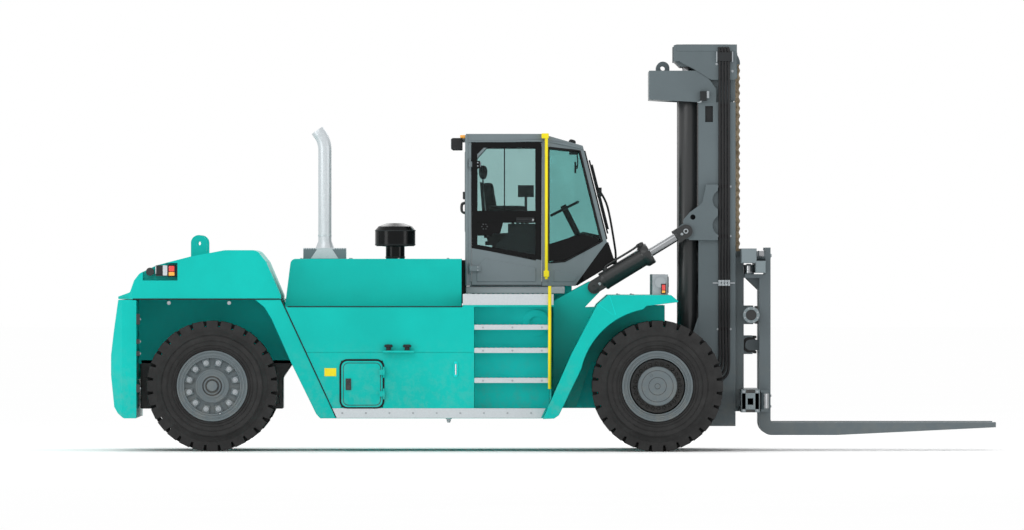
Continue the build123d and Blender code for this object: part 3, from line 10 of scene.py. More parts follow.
import bmesh
import bpy
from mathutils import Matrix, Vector


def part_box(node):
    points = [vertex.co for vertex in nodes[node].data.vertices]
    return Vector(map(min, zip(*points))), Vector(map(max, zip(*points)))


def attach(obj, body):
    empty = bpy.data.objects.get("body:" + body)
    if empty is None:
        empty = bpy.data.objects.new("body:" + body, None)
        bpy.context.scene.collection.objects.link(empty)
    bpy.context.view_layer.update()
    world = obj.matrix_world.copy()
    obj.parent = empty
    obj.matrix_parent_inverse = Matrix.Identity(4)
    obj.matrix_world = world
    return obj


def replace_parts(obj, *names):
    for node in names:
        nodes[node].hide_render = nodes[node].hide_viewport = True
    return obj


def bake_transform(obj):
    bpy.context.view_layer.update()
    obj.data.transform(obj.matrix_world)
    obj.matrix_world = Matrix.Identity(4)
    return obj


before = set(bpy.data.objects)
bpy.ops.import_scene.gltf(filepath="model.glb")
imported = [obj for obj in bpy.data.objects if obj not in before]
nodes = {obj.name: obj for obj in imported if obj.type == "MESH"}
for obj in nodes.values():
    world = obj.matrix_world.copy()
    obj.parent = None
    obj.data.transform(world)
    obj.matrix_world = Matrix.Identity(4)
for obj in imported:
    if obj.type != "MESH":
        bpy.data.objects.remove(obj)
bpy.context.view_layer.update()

# %% [markdown]
# The picture is a plain side view with no vanishing lines, as a catalogue drawing has.
# An orthographic camera would give that, but other views of the truck would look odd through it,
# so a very long lens stands far back instead.

# %% Camera
VIEW_CENTRE = Vector((-0.4746, 0.0, 2.094))
VIEW_WIDTH = 11.495
NEAR_SIDE_Y = -1.4
LENS = 500
SENSOR = 36

camera_data = bpy.data.cameras.new("camera")
camera_data.lens = LENS
camera_data.sensor_width = SENSOR
camera_data.clip_end = 1000
camera = bpy.data.objects.new("camera", camera_data)
camera.location = (VIEW_CENTRE.x, NEAR_SIDE_Y - VIEW_WIDTH * LENS / SENSOR, VIEW_CENTRE.z)
camera.rotation_euler = (math.radians(90), 0, 0)
bpy.context.scene.collection.objects.link(camera)
bpy.context.scene.camera = camera
print("camera stands", round(-camera.location.y, 1), "m back")

# %% [markdown]
# A studio is a pale floor, a white room and a few wide lamps.
# One broad light from the upper left front models the panels, a weaker one fills from the right,
# and a white world keeps the background as clean as paper.

# %% Studio
def flat_mesh(name, corners):
    mesh = bpy.data.meshes.new(name)
    mesh.from_pydata(corners, [], [tuple(range(len(corners)))])
    obj = bpy.data.objects.new(name, mesh)
    bpy.context.scene.collection.objects.link(obj)
    return obj


FLOOR_REACH = 320
floor = flat_mesh("floor", [(x * FLOOR_REACH, y * FLOOR_REACH, 0) for x, y in ((-1, -1), (1, -1), (1, 1), (-1, 1))])


def area_lamp(name, place, aim, size, power):
    data = bpy.data.lights.new(name, "AREA")
    data.shape = "RECTANGLE"
    data.size, data.size_y = size
    data.energy = power
    lamp = bpy.data.objects.new(name, data)
    lamp.location = place
    lamp.rotation_euler = (Vector(aim) - Vector(place)).to_track_quat("-Z", "Y").to_euler()
    bpy.context.scene.collection.objects.link(lamp)


area_lamp("key", (-7, -11, 11), (-0.5, 0, 1.4), (9, 6), 330)
area_lamp("left", (-17, -12, 2.6), (-1.5, 0, 1.2), (6, 5), 420)
area_lamp("right", (17, -12, 3.0), (0.5, 0, 1.4), (6, 5), 360)
area_lamp("back", (0, 11, 9), (0, 0, 1.5), (12, 5), 400)
world = bpy.data.worlds.new("studio")
bpy.context.scene.world = world
world.use_nodes = True
backdrop = world.node_tree.nodes["Background"]
backdrop.inputs["Color"].default_value = (1.0, 1.0, 1.0, 1)
backdrop.inputs["Strength"].default_value = 1.0
bpy.context.scene.view_settings.view_transform = "Standard"
print("floor and four lamps are set")

# %% [markdown]
# Materials are graphs of small nodes. Writing each node by hand is long, so two helpers come first.
# Wire wraps an output socket and takes the arithmetic signs, so that a mask can be written as a sum.
# Finish is one material: its node method adds any node, and feed leads a wire into the main shader.

# %% Shader helpers
class Wire:
    """An output socket that can be used in arithmetic."""

    def __init__(self, finish, socket):
        self.finish = finish
        self.socket = socket

    def math(self, operation, first, second):
        return self.finish.node("ShaderNodeMath", {"operation": operation}, {0: first, 1: second})

    def __add__(self, other):
        return self.math("ADD", self, other)

    def __rsub__(self, other):
        return self.math("SUBTRACT", other, self)

    def __mul__(self, other):
        return self.math("MULTIPLY", self, other)


class Finish:
    """One material and the nodes that make it."""

    def __init__(self, name, **constants):
        self.material = bpy.data.materials.new(name)
        self.material.use_nodes = True
        self.tree = self.material.node_tree
        self.shader = self.tree.nodes["Principled BSDF"]
        for socket, value in constants.items():
            self.shader.inputs[socket.replace("_", " ")].default_value = value

    def node(self, kind, settings=None, sockets=None, out=0):
        made = self.tree.nodes.new(kind)
        for key, value in (settings or {}).items():
            setattr(made, key, value)
        for key, value in (sockets or {}).items():
            if isinstance(value, Wire):
                self.tree.links.new(value.socket, made.inputs[key])
            else:
                made.inputs[key].default_value = value
        return Wire(self, made.outputs[out])

    def feed(self, socket, wire):
        self.tree.links.new(wire.socket, self.shader.inputs[socket])

    def place(self):
        return self.node("ShaderNodeTexCoord", out="Object")

    def noise(self, scale, detail=3.0, roughness=0.55):
        return self.node("ShaderNodeTexNoise", None, {"Vector": self.place(), "Scale": scale, "Detail": detail,
                                                      "Roughness": roughness})

    def waves(self, direction, scale):
        return self.node("ShaderNodeTexWave", {"bands_direction": direction}, {"Vector": self.place(), "Scale": scale})

    def ramp(self, wire, low, high):
        """0 below low and 1 above high, straight between."""
        return self.node("ShaderNodeMapRange", {"clamp": True}, {"Value": wire, "From Min": low, "From Max": high})

    def mix(self, share, first, second):
        return self.node("ShaderNodeMix", {"data_type": "RGBA"}, {0: share, 6: first, 7: second}, out=2)

    def height(self, wire, strength, distance):
        return self.node("ShaderNodeBump", None, {"Height": wire, "Strength": strength, "Distance": distance})


def linear(red, green, blue):
    """A screen colour of 0 to 255 as the light that it stands for."""
    def one(value):
        value /= 255
        return value / 12.92 if value <= 0.04045 else ((value + 0.055) / 1.055) ** 2.4
    return (one(red), one(green), one(blue), 1.0)


print("helpers ready: Wire and Finish")

# %% [markdown]
# Most of the truck is sprayed steel. Fresh paint is never one even colour: the spray leaves a fine
# orange-peel skin, the tone drifts a little from panel to panel, and road dust settles low down.
# One function makes every painted finish from its colour, so that all of them age alike.

# %% Sprayed paint
DUST = linear(150, 140, 122)


def sprayed_paint(name, colour, roughness=0.34, coat=0.05, shine=0.12, drift=0.06, dust=0.25):
    finish = Finish(name, Coat_Weight=coat, Coat_Roughness=0.12, Specular_IOR_Level=shine)
    deep = tuple(value * (1 - 2.2 * drift) for value in colour[:3]) + (1.0,)
    tone = finish.ramp(finish.noise(1.3, 4.0), 0.35, 0.7)
    painted = finish.mix(tone, deep, colour)
    height = finish.node("ShaderNodeSeparateXYZ", None, {0: finish.place()}, out=2)
    speckle = finish.ramp(finish.noise(9.0, 6.0, 0.7), 0.45, 0.75)
    settled = (1 - finish.ramp(height, 0.25, 1.3)) * speckle * dust
    finish.feed("Base Color", finish.mix(settled, painted, DUST))
    finish.feed("Roughness", finish.noise(3.0, 5.0) * 0.14 + (roughness - 0.07) + settled * 0.5)
    peel = finish.noise(260.0, 2.0)
    finish.feed("Normal", finish.height(peel, 0.06, 0.0006))
    return finish.material


TURQUOISE = linear(5, 183, 173)
body_paint = sprayed_paint("body_paint", TURQUOISE)
# The arch paint is the body's turquoise made lighter: painted light that lifts the shade inside the rear arch, on the
# rear housing and on the frame.
lightened_arch_paint = sprayed_paint("lightened_arch_paint", linear(6, 212, 206), roughness=0.5)
# An even lighter turquoise for the walls of the step recesses: painted light that lifts their shade.
liner_painted_light = sprayed_paint("liner_painted_light", linear(24, 236, 230), roughness=0.5)
mast_paint = sprayed_paint("mast_paint", linear(94, 105, 109), roughness=0.4, shine=0.25)
# The carriage paint is the mast's grey made lighter: painted light that offsets the shade on the carriage.
lightened_carriage_paint = sprayed_paint("lightened_carriage_paint", linear(122, 134, 138), roughness=0.42, shine=0.25, dust=0.35)
cab_paint = sprayed_paint("cab_paint", linear(112, 124, 128), roughness=0.42, shine=0.25)
rim_paint = sprayed_paint("rim_paint", linear(98, 108, 112), roughness=0.42, shine=0.25, dust=0.3)
black_paint = sprayed_paint("black_paint", linear(40, 42, 43), roughness=0.36, coat=0.1, shine=0.4)
yellow_paint = sprayed_paint("yellow_paint", linear(238, 220, 40), roughness=0.38)
fork_paint = sprayed_paint("fork_paint", linear(98, 108, 112), roughness=0.45, shine=0.25, dust=0.15)
lamp_grey = sprayed_paint("lamp_grey", linear(150, 158, 162), roughness=0.3, coat=0.2, shine=0.5)
print("painted finishes made")

# %% [markdown]
# Bare metal and rubber show how they were worked or worn. Rods are ground and plated; the steps are
# pressed; chain plates keep a film of brown oil; tyre rubber picks up pale scuff.
# One function makes them all: one noise mixes two tones and sets the roughness, another gives the relief.

# %% Bare metal
def worked(name, tone, dark, light, rough, relief, limits=None, rough_by_relief=False, **constants):
    """A finish from noises (scale, detail, roughness); relief ends with its strength and distance."""
    finish = Finish(name, **constants)
    pattern = finish.noise(*tone)
    if limits:
        pattern = finish.ramp(pattern, *limits)
    *grain, strength, distance = relief
    bumps = finish.noise(*grain)
    gain, base = rough
    finish.feed("Base Color", finish.mix(pattern, linear(*dark), linear(*light)))
    finish.feed("Roughness", (bumps if rough_by_relief else pattern) * gain + base)
    finish.feed("Normal", finish.height(bumps, strength, distance))
    return finish.material


rod_chrome = worked("plated_rod", (5.0, 3.0), (132, 134, 136), (164, 166, 168), (0.12, 0.2),
                    (420.0, 2.0, 0.03, 0.0004), rough_by_relief=True, Metallic=1.0, Specular_IOR_Level=0.5)
step_plate = worked("step_metal", (60.0, 5.0, 0.65), (178, 185, 189), (208, 213, 216), (0.2, 0.3),
                    (180.0, 3.0, 0.08, 0.0006), Metallic=0.55, Specular_IOR_Level=0.5)
chain_steel = worked("oiled_chain", (22.0, 5.0), (104, 92, 74), (168, 152, 126), (0.25, 0.3),
                     (140.0, 3.0, 0.12, 0.0008), (0.35, 0.7), Metallic=0.6, Specular_IOR_Level=0.5)
engine_iron = worked("cast_iron", (90.0, 6.0, 0.7), (58, 58, 58), (92, 92, 90), (0.25, 0.5),
                     (90.0, 6.0, 0.7, 0.3, 0.001), Metallic=0.3, Specular_IOR_Level=0.4)
bolt_zinc = sprayed_paint("bolt_zinc", linear(168, 174, 178), roughness=0.35, coat=0.0, dust=0.1)
bolt_zinc.node_tree.nodes["Principled BSDF"].inputs["Metallic"].default_value = 0.8
print("bare metals made")

# %% [markdown]
# Rubber is dull and greys with dust, and moulded plastic has a leathery grain. The seat's cloth is woven:
# two waves at right angles make its threads.

# %% Rubber, plastic and cloth
def grained(name, dark, light, grain, roughness, depth=0.0008, shine=0.3):
    """Moulded plastic or rubber with a fine leathery grain."""
    finish = Finish(name, Specular_IOR_Level=shine)
    cells = finish.node("ShaderNodeTexVoronoi", None, {"Vector": finish.place(), "Scale": grain})
    finish.feed("Base Color", finish.mix(finish.noise(6.0, 4.0), linear(*dark), linear(*light)))
    finish.feed("Roughness", cells * 0.2 + roughness)
    finish.feed("Normal", finish.height(cells, 0.25, depth))
    return finish.material


def seat_cloth():
    finish = Finish("seat_cloth", Sheen_Weight=0.35, Sheen_Roughness=0.5, Specular_IOR_Level=0.25)
    warp, weft = (finish.waves(direction, 140.0) for direction in "YZ")
    weave = warp * weft
    finish.feed("Base Color", finish.mix(weave, linear(22, 24, 26), linear(48, 51, 54)))
    finish.feed("Roughness", weave * -0.15 + 0.9)
    finish.feed("Normal", finish.height(weave, 0.4, 0.0012))
    return finish.material


tyre_black = worked("tyre_rubber", (7.0, 6.0, 0.7), (31, 31, 31), (50, 50, 50), (0.15, 0.68),
                    (120.0, 5.0, 0.65, 0.22, 0.0015), (0.42, 0.78), Specular_IOR_Level=0.3)
hose_rubber = grained("hose_rubber", (24, 24, 25), (40, 40, 41), 320.0, 0.5)
seal_rubber = grained("seal_rubber", (14, 14, 15), (26, 26, 27), 260.0, 0.6)
cab_plastic = grained("cab_plastic", (24, 26, 28), (40, 43, 45), 380.0, 0.5)
gloss_black = grained("gloss_black", (7, 8, 9), (14, 15, 16), 500.0, 0.08, 0.0001, 0.14)
cushion_cloth = seat_cloth()
print("rubber, plastic and cloth made")

# %% [markdown]
# The panes are green-tinted safety glass. A thin pane hardly bends what is behind it, so its index is close
# to air's, and a thin clear coat gives the reflections. The tint is what one pane lets through.
# Lamp lenses are moulded with fine ribs, and lighter stripes along the ribs are painted highlights.

# %% Glass and lenses
def tinted_glass(name, colour):
    finish = Finish(name, Transmission_Weight=1.0, IOR=1.03, Coat_Weight=0.25, Coat_Roughness=0.02)
    film = finish.ramp(finish.noise(2.2, 4.0), 0.3, 0.8)
    darker = tuple(value * 0.92 for value in colour[:3]) + (1.0,)
    finish.feed("Base Color", finish.mix(film, darker, colour))
    finish.feed("Roughness", film * 0.02)
    return finish.material


def ribbed_lens(name, colour):
    finish = Finish(name, Coat_Weight=0.8, Coat_Roughness=0.05, Specular_IOR_Level=0.6)
    ribs = finish.waves("X", 40.0)
    # The lighter copy of the lens colour, laid along the ribs, is a painted highlight.
    bright = tuple(min(1.0, value * 1.5 + 0.03) for value in colour[:3]) + (1.0,)
    finish.feed("Base Color", finish.mix(ribs, colour, bright))
    finish.feed("Roughness", ribs * 0.1 + 0.15)
    finish.feed("Normal", finish.height(ribs, 0.3, 0.001))
    return finish.material


window_glass = tinted_glass("window_glass", (0.36, 0.60, 0.585, 1.0))
door_pane = tinted_glass("door_pane", (0.53, 0.69, 0.68, 1.0))
red_lens = ribbed_lens("red_lens", linear(196, 30, 20))
amber_lens = ribbed_lens("amber_lens", linear(240, 150, 16))
clear_lens = ribbed_lens("clear_lens", linear(200, 206, 210))
floor_white = Finish("floor_white", Specular_IOR_Level=0.0, Roughness=1.0)
floor_white.feed("Base Color", floor_white.mix(floor_white.noise(0.4), (0.985, 0.985, 0.985, 1), (1, 1, 1, 1)))
floor.data.materials.append(floor_white.material)
print("glass and lenses made")

# %% [markdown]
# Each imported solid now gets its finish. Solids arrive with knife-sharp edges that no press or weld has,
# so a Weld and a small Bevel modifier round them. The solid's own points stay as they were.

# %% Dress the solids
FINISHES = {
    body_paint: ("counterweight", "rear_cover", "lifting_lugs", "rear_mudguards", "side_body_left",
                 "side_body_right", "hood", "tilt_arms", "front_mudguards", "hatch", "steps"),
    # The rear housing and the frame take the lighter arch paint as painted light against their shade.
    lightened_arch_paint: ("rear_housing", "frame"),
    mast_paint: ("outer_uprights", "outer_crossbeams", "mast_eyes", "inner_uprights", "crosshead"),
    # The carriage frame takes the lighter carriage paint as painted light against its shade.
    lightened_carriage_paint: ("carriage_frame",),
    cab_paint: ("cab_floor", "cab_rear_wall", "cab_frame", "cab_roof", "door_left", "door_right"),
    black_paint: ("drive_axle", "steer_axle", "knuckle_left", "knuckle_right", "lift_cylinders",
                  "positioner_cylinders", "tilt_barrel_left", "tilt_barrel_right",
                  "tilt_rod_left", "tilt_rod_right", "rear_lamps"),
    lamp_grey: ("front_lamps",),
    yellow_paint: ("handrails",),
    rod_chrome: ("lift_rods",),
    fork_paint: ("fork_left", "fork_right"),
    chain_steel: ("chain_front", "chain_rear"),
    tyre_black: ("front_tyres_left", "front_tyres_right", "rear_tyre_left", "rear_tyre_right"),
    rim_paint: ("front_rims_left", "front_rims_right", "rear_rim_left", "rear_rim_right"),
    window_glass: ("cab_glass",),
    door_pane: ("door_glass_left", "door_glass_right"),
    cushion_cloth: ("seat",),
    cab_plastic: ("dashboard",),
    hose_rubber: ("mast_hoses",),
    step_plate: ("exhaust",),
    gloss_black: ("air_cleaner",),
    engine_iron: ("engine",),
}
EDGE = {"counterweight": 0.03, "rear_cover": 0.02, "hood": 0.008, "front_mudguards": 0.015, "rear_mudguards": 0.012}
UNBEVELLED = {"cab_glass", "door_glass_left", "door_glass_right", "mast_hoses", "air_cleaner"}


def bevelled(obj, width, degrees):
    bevel = obj.modifiers.new("edges", "BEVEL")
    bevel.width = width
    bevel.segments = 2
    bevel.limit_method = "ANGLE"
    bevel.angle_limit = math.radians(degrees)
    return bevel


def dress(name, material):
    obj = nodes[name]
    obj.data.materials.clear()
    obj.data.materials.append(material)
    if name not in UNBEVELLED:
        obj.modifiers.new("weld", "WELD").merge_threshold = 0.0001
        bevelled(obj, EDGE.get(name, 0.005), 35).harden_normals = True


for material, names in FINISHES.items():
    for name in names:
        dress(name, material)
print("dressed", sum(len(names) for names in FINISHES.values()), "of", len(nodes), "solids")

# %% [markdown]
# The small parts come next. Piece gathers many simple shapes into one mesh, so that all the bolts of a
# wheel, or every seal of the cab, are one object with one finish that rides on one body.
# Shapes are laid out in the truck's own frame, in metres: +X to the forks, +Y to the driver's left.
# Most fittings come in pairs, so the pair methods lay a shape on both sides at once.

# %% Piece
ALONG = {"X": Vector((1, 0, 0)), "Y": Vector((0, 1, 0)), "Z": Vector((0, 0, 1))}
SIDES = (("left", 1), ("right", -1))
SIGNS = (1, -1)


def unit(axis):
    """A letter or any vector as a direction of length one."""
    return (ALONG[axis] if isinstance(axis, str) else Vector(axis)).normalized()


def around(axis, sides):
    """The axis as a direction, and directions all round it."""
    along = unit(axis)
    side = along.orthogonal().normalized()
    other = along.cross(side)
    turns = (k * math.tau / sides for k in range(sides))
    return along, [side * math.cos(turn) + other * math.sin(turn) for turn in turns]


def across(sign, a, b):
    """Two distances from the centre line, on one side, as rising Y."""
    return sorted((sign * a, sign * b))


def rect(x0, x1, z0, z1):
    """Side outline of an upright rectangle."""
    return [(x0, z0), (x1, z0), (x1, z1), (x0, z1)]


class Piece:
    """One mesh gathered from small shapes, with one finish, riding on one body."""

    def __init__(self, name, material, body="chassis"):
        self.name = name
        self.material = material
        self.body = body
        self.mesh = bmesh.new()

    def skin(self, rings, closed_ends=True):
        """Faces between rings of points that have the same count."""
        rows = [[self.mesh.verts.new(point) for point in ring] for ring in rings]
        for low, high in zip(rows, rows[1:]):
            for k in range(len(low)):
                self.mesh.faces.new((low[k - 1], low[k], high[k], high[k - 1]))
        if closed_ends:
            self.mesh.faces.new(list(reversed(rows[0])))
            self.mesh.faces.new(rows[-1])

    def box(self, x, y, z):
        """A box from three (low, high) ranges."""
        self.skin([[(x[0], y[0], at), (x[1], y[0], at), (x[1], y[1], at), (x[0], y[1], at)] for at in z])

    def pair(self, x, y, z):
        """A box on each side; y counts from the centre line."""
        for sign in SIGNS:
            self.box(x, across(sign, *y), z)

    def plate(self, outline, y0, y1):
        """A side outline of (x, z) points, as thick as y0 to y1."""
        self.skin([[(x, y, z) for x, z in outline] for y in (y0, y1)])

    def pair_plate(self, outline, y0, y1):
        for sign in SIGNS:
            self.plate(outline, *across(sign, y0, y1))

    def turned(self, rings, origin, axis="Y", sides=40):
        """A turned shape from (distance along the axis, radius) rings."""
        along, outs = around(axis, sides)
        origin = Vector(origin)
        self.skin([[origin + along * at + out * radius for out in outs] for at, radius in rings])

    def hoop(self, profile, origin, axis="Y", sides=56):
        """A ring whose section is a closed loop of (distance along the axis, radius) points."""
        along, outs = around(axis, sides)
        origin = Vector(origin)
        self.skin([[origin + along * at + out * radius for at, radius in profile] for out in outs + outs[:1]],
                  closed_ends=False)

    def rod(self, start, end, radius, sides=20):
        start, end = Vector(start), Vector(end)
        length = (end - start).length
        lip = min(0.15 * radius, 0.2 * length)
        self.turned([(0, radius - lip), (lip, radius), (length - lip, radius), (length, radius - lip)],
                    start, end - start, sides)

    def pipe(self, points, radius, sides=12, steps=6):
        """A round tube through points, with its corners eased."""
        path = eased([Vector(p) for p in points], steps)
        side = (path[1] - path[0]).orthogonal().normalized()
        rings = []
        for k, point in enumerate(path):
            along = (path[min(k + 1, len(path) - 1)] - path[max(k - 1, 0)]).normalized()
            side = (side - along * side.dot(along)).normalized()
            other = along.cross(side)
            rings.append([point + (side * math.cos(a) + other * math.sin(a)) * radius
                          for a in (n * math.tau / sides for n in range(sides))])
        self.skin(rings)

    def bolt(self, at, axis, radius, height, washer=True):
        """A hexagon head on a round washer, standing from at."""
        rise = 0.0
        if washer:
            rise = 0.25 * height
            self.turned([(-0.002, 1.45 * radius), (rise, 1.4 * radius)], at, axis, 16)
        self.turned([(rise, radius), (height * 0.85, radius), (height, 0.8 * radius)], at, axis, 6)

    def pair_bolt(self, x, y, z, radius, height):
        """A bolt on each side that looks outward."""
        for sign in SIGNS:
            self.bolt((x, sign * y, z), (0, sign, 0), radius, height)

    def done(self, edge=0.002, slot=None):
        """Close the mesh, round its edges and set it on its body."""
        bmesh.ops.remove_doubles(self.mesh, verts=self.mesh.verts, dist=0.00002)
        bmesh.ops.recalc_face_normals(self.mesh, faces=self.mesh.faces)
        data = bpy.data.meshes.new(self.name)
        self.mesh.to_mesh(data)
        self.mesh.free()
        data.polygons.foreach_set("use_smooth", [True] * len(data.polygons))
        data.set_sharp_from_angle(angle=math.radians(32))
        data.materials.append(self.material)
        obj = bpy.data.objects.new(self.name, data)
        bpy.context.scene.collection.objects.link(obj)
        if edge:
            bevelled(obj, edge, 32)
        if self.body:
            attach(obj, self.body)
        print(self.name, "faces", len(data.polygons))
        return obj


def eased(points, steps):
    """Points along a smooth line that passes through every given point."""
    path = []
    for k in range(len(points) - 1):
        before, start = points[max(k - 1, 0)], points[k]
        end, after = points[k + 1], points[min(k + 2, len(points) - 1)]
        for n in range(steps):
            t = n / steps
            path.append(0.5 * ((2 * start) + (end - before) * t + (2 * before - 5 * start + 4 * end - after) * t ** 2
                               + (3 * start - before - 3 * end + after) * t ** 3))
    return path + [points[-1]]


def ring_of(count, radius, centre, first=0.0):
    """Places round a wheel that stands across Y: (angle, x, z)."""
    for k in range(count):
        angle = first + k * math.tau / count
        yield angle, centre.x + radius * math.cos(angle), centre.z + radius * math.sin(angle)


def middle(name):
    low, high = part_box(name)
    return (low + high) / 2


print("piece maker ready")

# %% [markdown]
# A tyre's wall is moulded with raised rings: one guards the rim, others stiffen the wall and mark how far
# the casing may flex. The solids give the lugs and the wall; these rings are turned to lie on its slope.
# Between the lugs, just under their tops, lies a band of darker rubber.

# %% Tyre walls
TYRE_HALF = 0.215
# Radius, width and height of each ring
WALL_RINGS = ((0.418, 0.020, 0.010), (0.455, 0.010, 0.006), (0.505, 0.012, 0.006), (0.572, 0.016, 0.008))
RIM_R = 0.395
WALL_FOOT = (RIM_R, 0.8 * TYRE_HALF)
WALL_TOP = (0.560, TYRE_HALF)
TREAD_R = (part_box("rear_tyre_left")[1].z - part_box("rear_tyre_left")[0].z) / 2


def wall_y(radius):
    """How far the tyre's wall stands from the tyre's middle at a radius."""
    share = (radius - WALL_FOOT[0]) / (WALL_TOP[0] - WALL_FOOT[0])
    return WALL_FOOT[1] + min(share, 1.0) * (WALL_TOP[1] - WALL_FOOT[1]) - max(0.0, radius - WALL_TOP[0]) * 0.59


def tread_floor(piece, centre):
    """The band of rubber between the lugs, just under their tops."""
    reach, top = TYRE_HALF - 0.115, TREAD_R - 0.004
    piece.hoop([(-reach, top - 0.05), (-reach, top), (reach, top), (reach, top - 0.05)], centre, "Y", 112)


def tyre_wall(piece, centre, side):
    for radius, width, height in WALL_RINGS:
        low, high = wall_y(radius - width / 2), wall_y(radius + width / 2)
        profile = [(low - 0.01, radius - width / 2), (low + height, radius - width / 4),
                   (high + height, radius + width / 4), (high - 0.01, radius + width / 2)]
        piece.hoop([(side * at, r) for at, r in profile], centre, "Y", 84)


def tyre_pieces(end, name, body, centres):
    walls = Piece(f"{end}_tyre_walls_{name}", tyre_black, body)
    floors = Piece(f"{end}_tread_floor_{name}", seal_rubber, body)
    for centre in centres:
        tread_floor(floors, centre)
        for side in SIGNS:
            tyre_wall(walls, centre, side)
    return walls, floors


front_low, front_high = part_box("front_tyres_left")
TWIN_CENTRES = (front_low.y + TYRE_HALF, front_high.y - TYRE_HALF)
for name, sign in SIDES:
    hub = middle(f"front_tyres_{name}")
    twins = [Vector((hub.x, sign * y, hub.z)) for y in TWIN_CENTRES]
    walls, floors = tyre_pieces("front", name, f"front_wheels_{name}", twins)
    walls.done(0.003, "tyre_rubber")
    floors.done(0)
    walls, floors = tyre_pieces("rear", name, f"rear_wheel_{name}", [middle(f"rear_tyre_{name}")])
    floors.done(0)
    walls.done(0.003, "tyre_rubber")

# %% [markdown]
# The steered wheels have a demountable rim: twelve wedge clamps, each under its own stud and nut, pull the
# rim ring against the wheel's centre. The driven wheels are bolted through a deep dish to a planetary hub,
# whose cover has a filler plug.

# %% Rims and hubs
CLAMP_COUNT = 12
CLAMP_R = 0.267
CLAMP_OUTLINE = ((-0.046, 0.052), (0.046, 0.052), (0.036, -0.046), (-0.036, -0.046))
HUB_NUTS = 24
HUB_NUT_R = 0.253
DISC_Y = 0.3 * 2 * TYRE_HALF
HUB_FACE = 0.041


def round_the_wheel(centre, radius, degrees, y):
    angle = math.radians(degrees)
    return Vector((centre.x + radius * math.cos(angle), y, centre.z + radius * math.sin(angle)))


def clamps(piece, nuts, centre, disc_y, side):
    """Wedge clamps and their studs round a wheel's centre, standing from disc_y."""
    for angle, x, z in ring_of(CLAMP_COUNT, CLAMP_R, centre, math.radians(15)):
        out = Vector((math.cos(angle), 0, math.sin(angle)))
        along = Vector((-out.z, 0, out.x))
        spot = Vector((x, disc_y, z))
        piece.skin([[spot + along * a * shrink + out * b * shrink + Vector((0, side * height, 0))
                     for a, b in CLAMP_OUTLINE]
                    for height, shrink in ((-0.004, 1.0), (0.024, 1.0), (0.034, 0.82))])
        nuts.bolt(spot + Vector((0, side * 0.033, 0)), (0, side, 0), 0.021, 0.024)
        nuts.rod(spot + Vector((0, side * 0.05, 0)), spot + Vector((0, side * 0.078, 0)), 0.011, 10)


def flanges(piece, centre, face_y, side, *rings):
    """Raised rings of (radius, width, height) round a wheel."""
    for radius, width, height in rings:
        piece.hoop([(0, radius - width / 2), (side * height, radius - width / 3), (side * height, radius + width / 3),
                    (0, radius + width / 2), (-side * 0.006, radius)], (centre.x, face_y, centre.z), "Y", 72)


def wheel_pieces(end, name, body, nut_metal):
    kinds = (("dress", rim_paint), ("nuts", nut_metal), ("shadow", black_paint))
    return [Piece(f"{end}_rim_{kind}_{name}", material, body) for kind, material in kinds]


def wheel_done(metal, nuts, dark):
    metal.done(0.003, "rim_paint")
    nuts.done(0.001)
    dark.done(0.001)


for name, sign in SIDES:
    wheel = middle(f"rear_tyre_{name}")
    # The rear nuts take the lighter zinc instead of the rim's grey: painted highlight that makes them stand out.
    metal, nuts, dark = wheel_pieces("rear", name, f"rear_wheel_{name}", bolt_zinc)
    disc_y = wheel.y + sign * DISC_Y
    edge_y = wheel.y + sign * WALL_FOOT[1]
    clamps(metal, nuts, wheel, disc_y, sign)
    flanges(metal, wheel, edge_y, sign, (0.388, 0.024, 0.012), (0.352, 0.020, 0.006), (0.322, 0.016, 0.010))
    flanges(metal, wheel, disc_y + sign * HUB_FACE, sign, (0.178, 0.016, 0.006))
    flanges(dark, wheel, disc_y + sign * 0.056, sign, (0.105, 0.016, 0.004))
    flanges(dark, wheel, disc_y + sign * 0.074, sign, (0.070, 0.018, 0.003))
    metal.turned([(0, 0.062), (sign * 0.082, 0.060), (sign * 0.088, 0.052), (sign * 0.088, 0.002)],
                 (wheel.x, disc_y, wheel.z), "Y", 48)
    valve = round_the_wheel(wheel, 0.330, -75, edge_y)
    nuts.rod(valve, valve + Vector((0.004, sign * 0.030, 0.012)), 0.008, 10)
    wheel_done(metal, nuts, dark)

for name, sign in SIDES:
    rim = middle(f"front_rims_{name}")
    metal, nuts, dark = wheel_pieces("front", name, f"front_wheels_{name}", engine_iron)
    rim_face = sign * max(abs(corner.y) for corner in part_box(f"front_rims_{name}"))
    hub_face = rim_face - sign * 0.099
    flange_y = hub_face - sign * 0.085
    flanges(metal, rim, rim_face, sign, (0.386, 0.026, 0.012), (0.346, 0.018, 0.006), (0.320, 0.014, 0.012))
    dark.hoop([(0, 0.212), (sign * 0.03, 0.212), (sign * 0.03, 0.300), (0, 0.312)], (rim.x, flange_y, rim.z), "Y", 72)
    for angle, x, z in ring_of(HUB_NUTS, HUB_NUT_R, rim, 0.05):
        nuts.bolt((x, flange_y + sign * 0.03, z), (0, sign, 0), 0.017, 0.024)
        nuts.rod((x, flange_y + sign * 0.05, z), (x, flange_y + sign * 0.07, z), 0.009, 8)
    metal.turned([(-0.02, 0.221), (sign * 0.076, 0.221), (sign * 0.084, 0.213), (sign * 0.084, 0.002)],
                 (rim.x, hub_face, rim.z), "Y", 72)
    flanges(dark, rim, hub_face + sign * 0.084, sign, *((radius, 0.006, 0.0015) for radius in (0.176, 0.099, 0.030)))
    metal.bolt(round_the_wheel(rim, 0.138, 120, hub_face + sign * 0.083), (0, sign, 0), 0.012, 0.010)
    wheel_done(metal, nuts, dark)

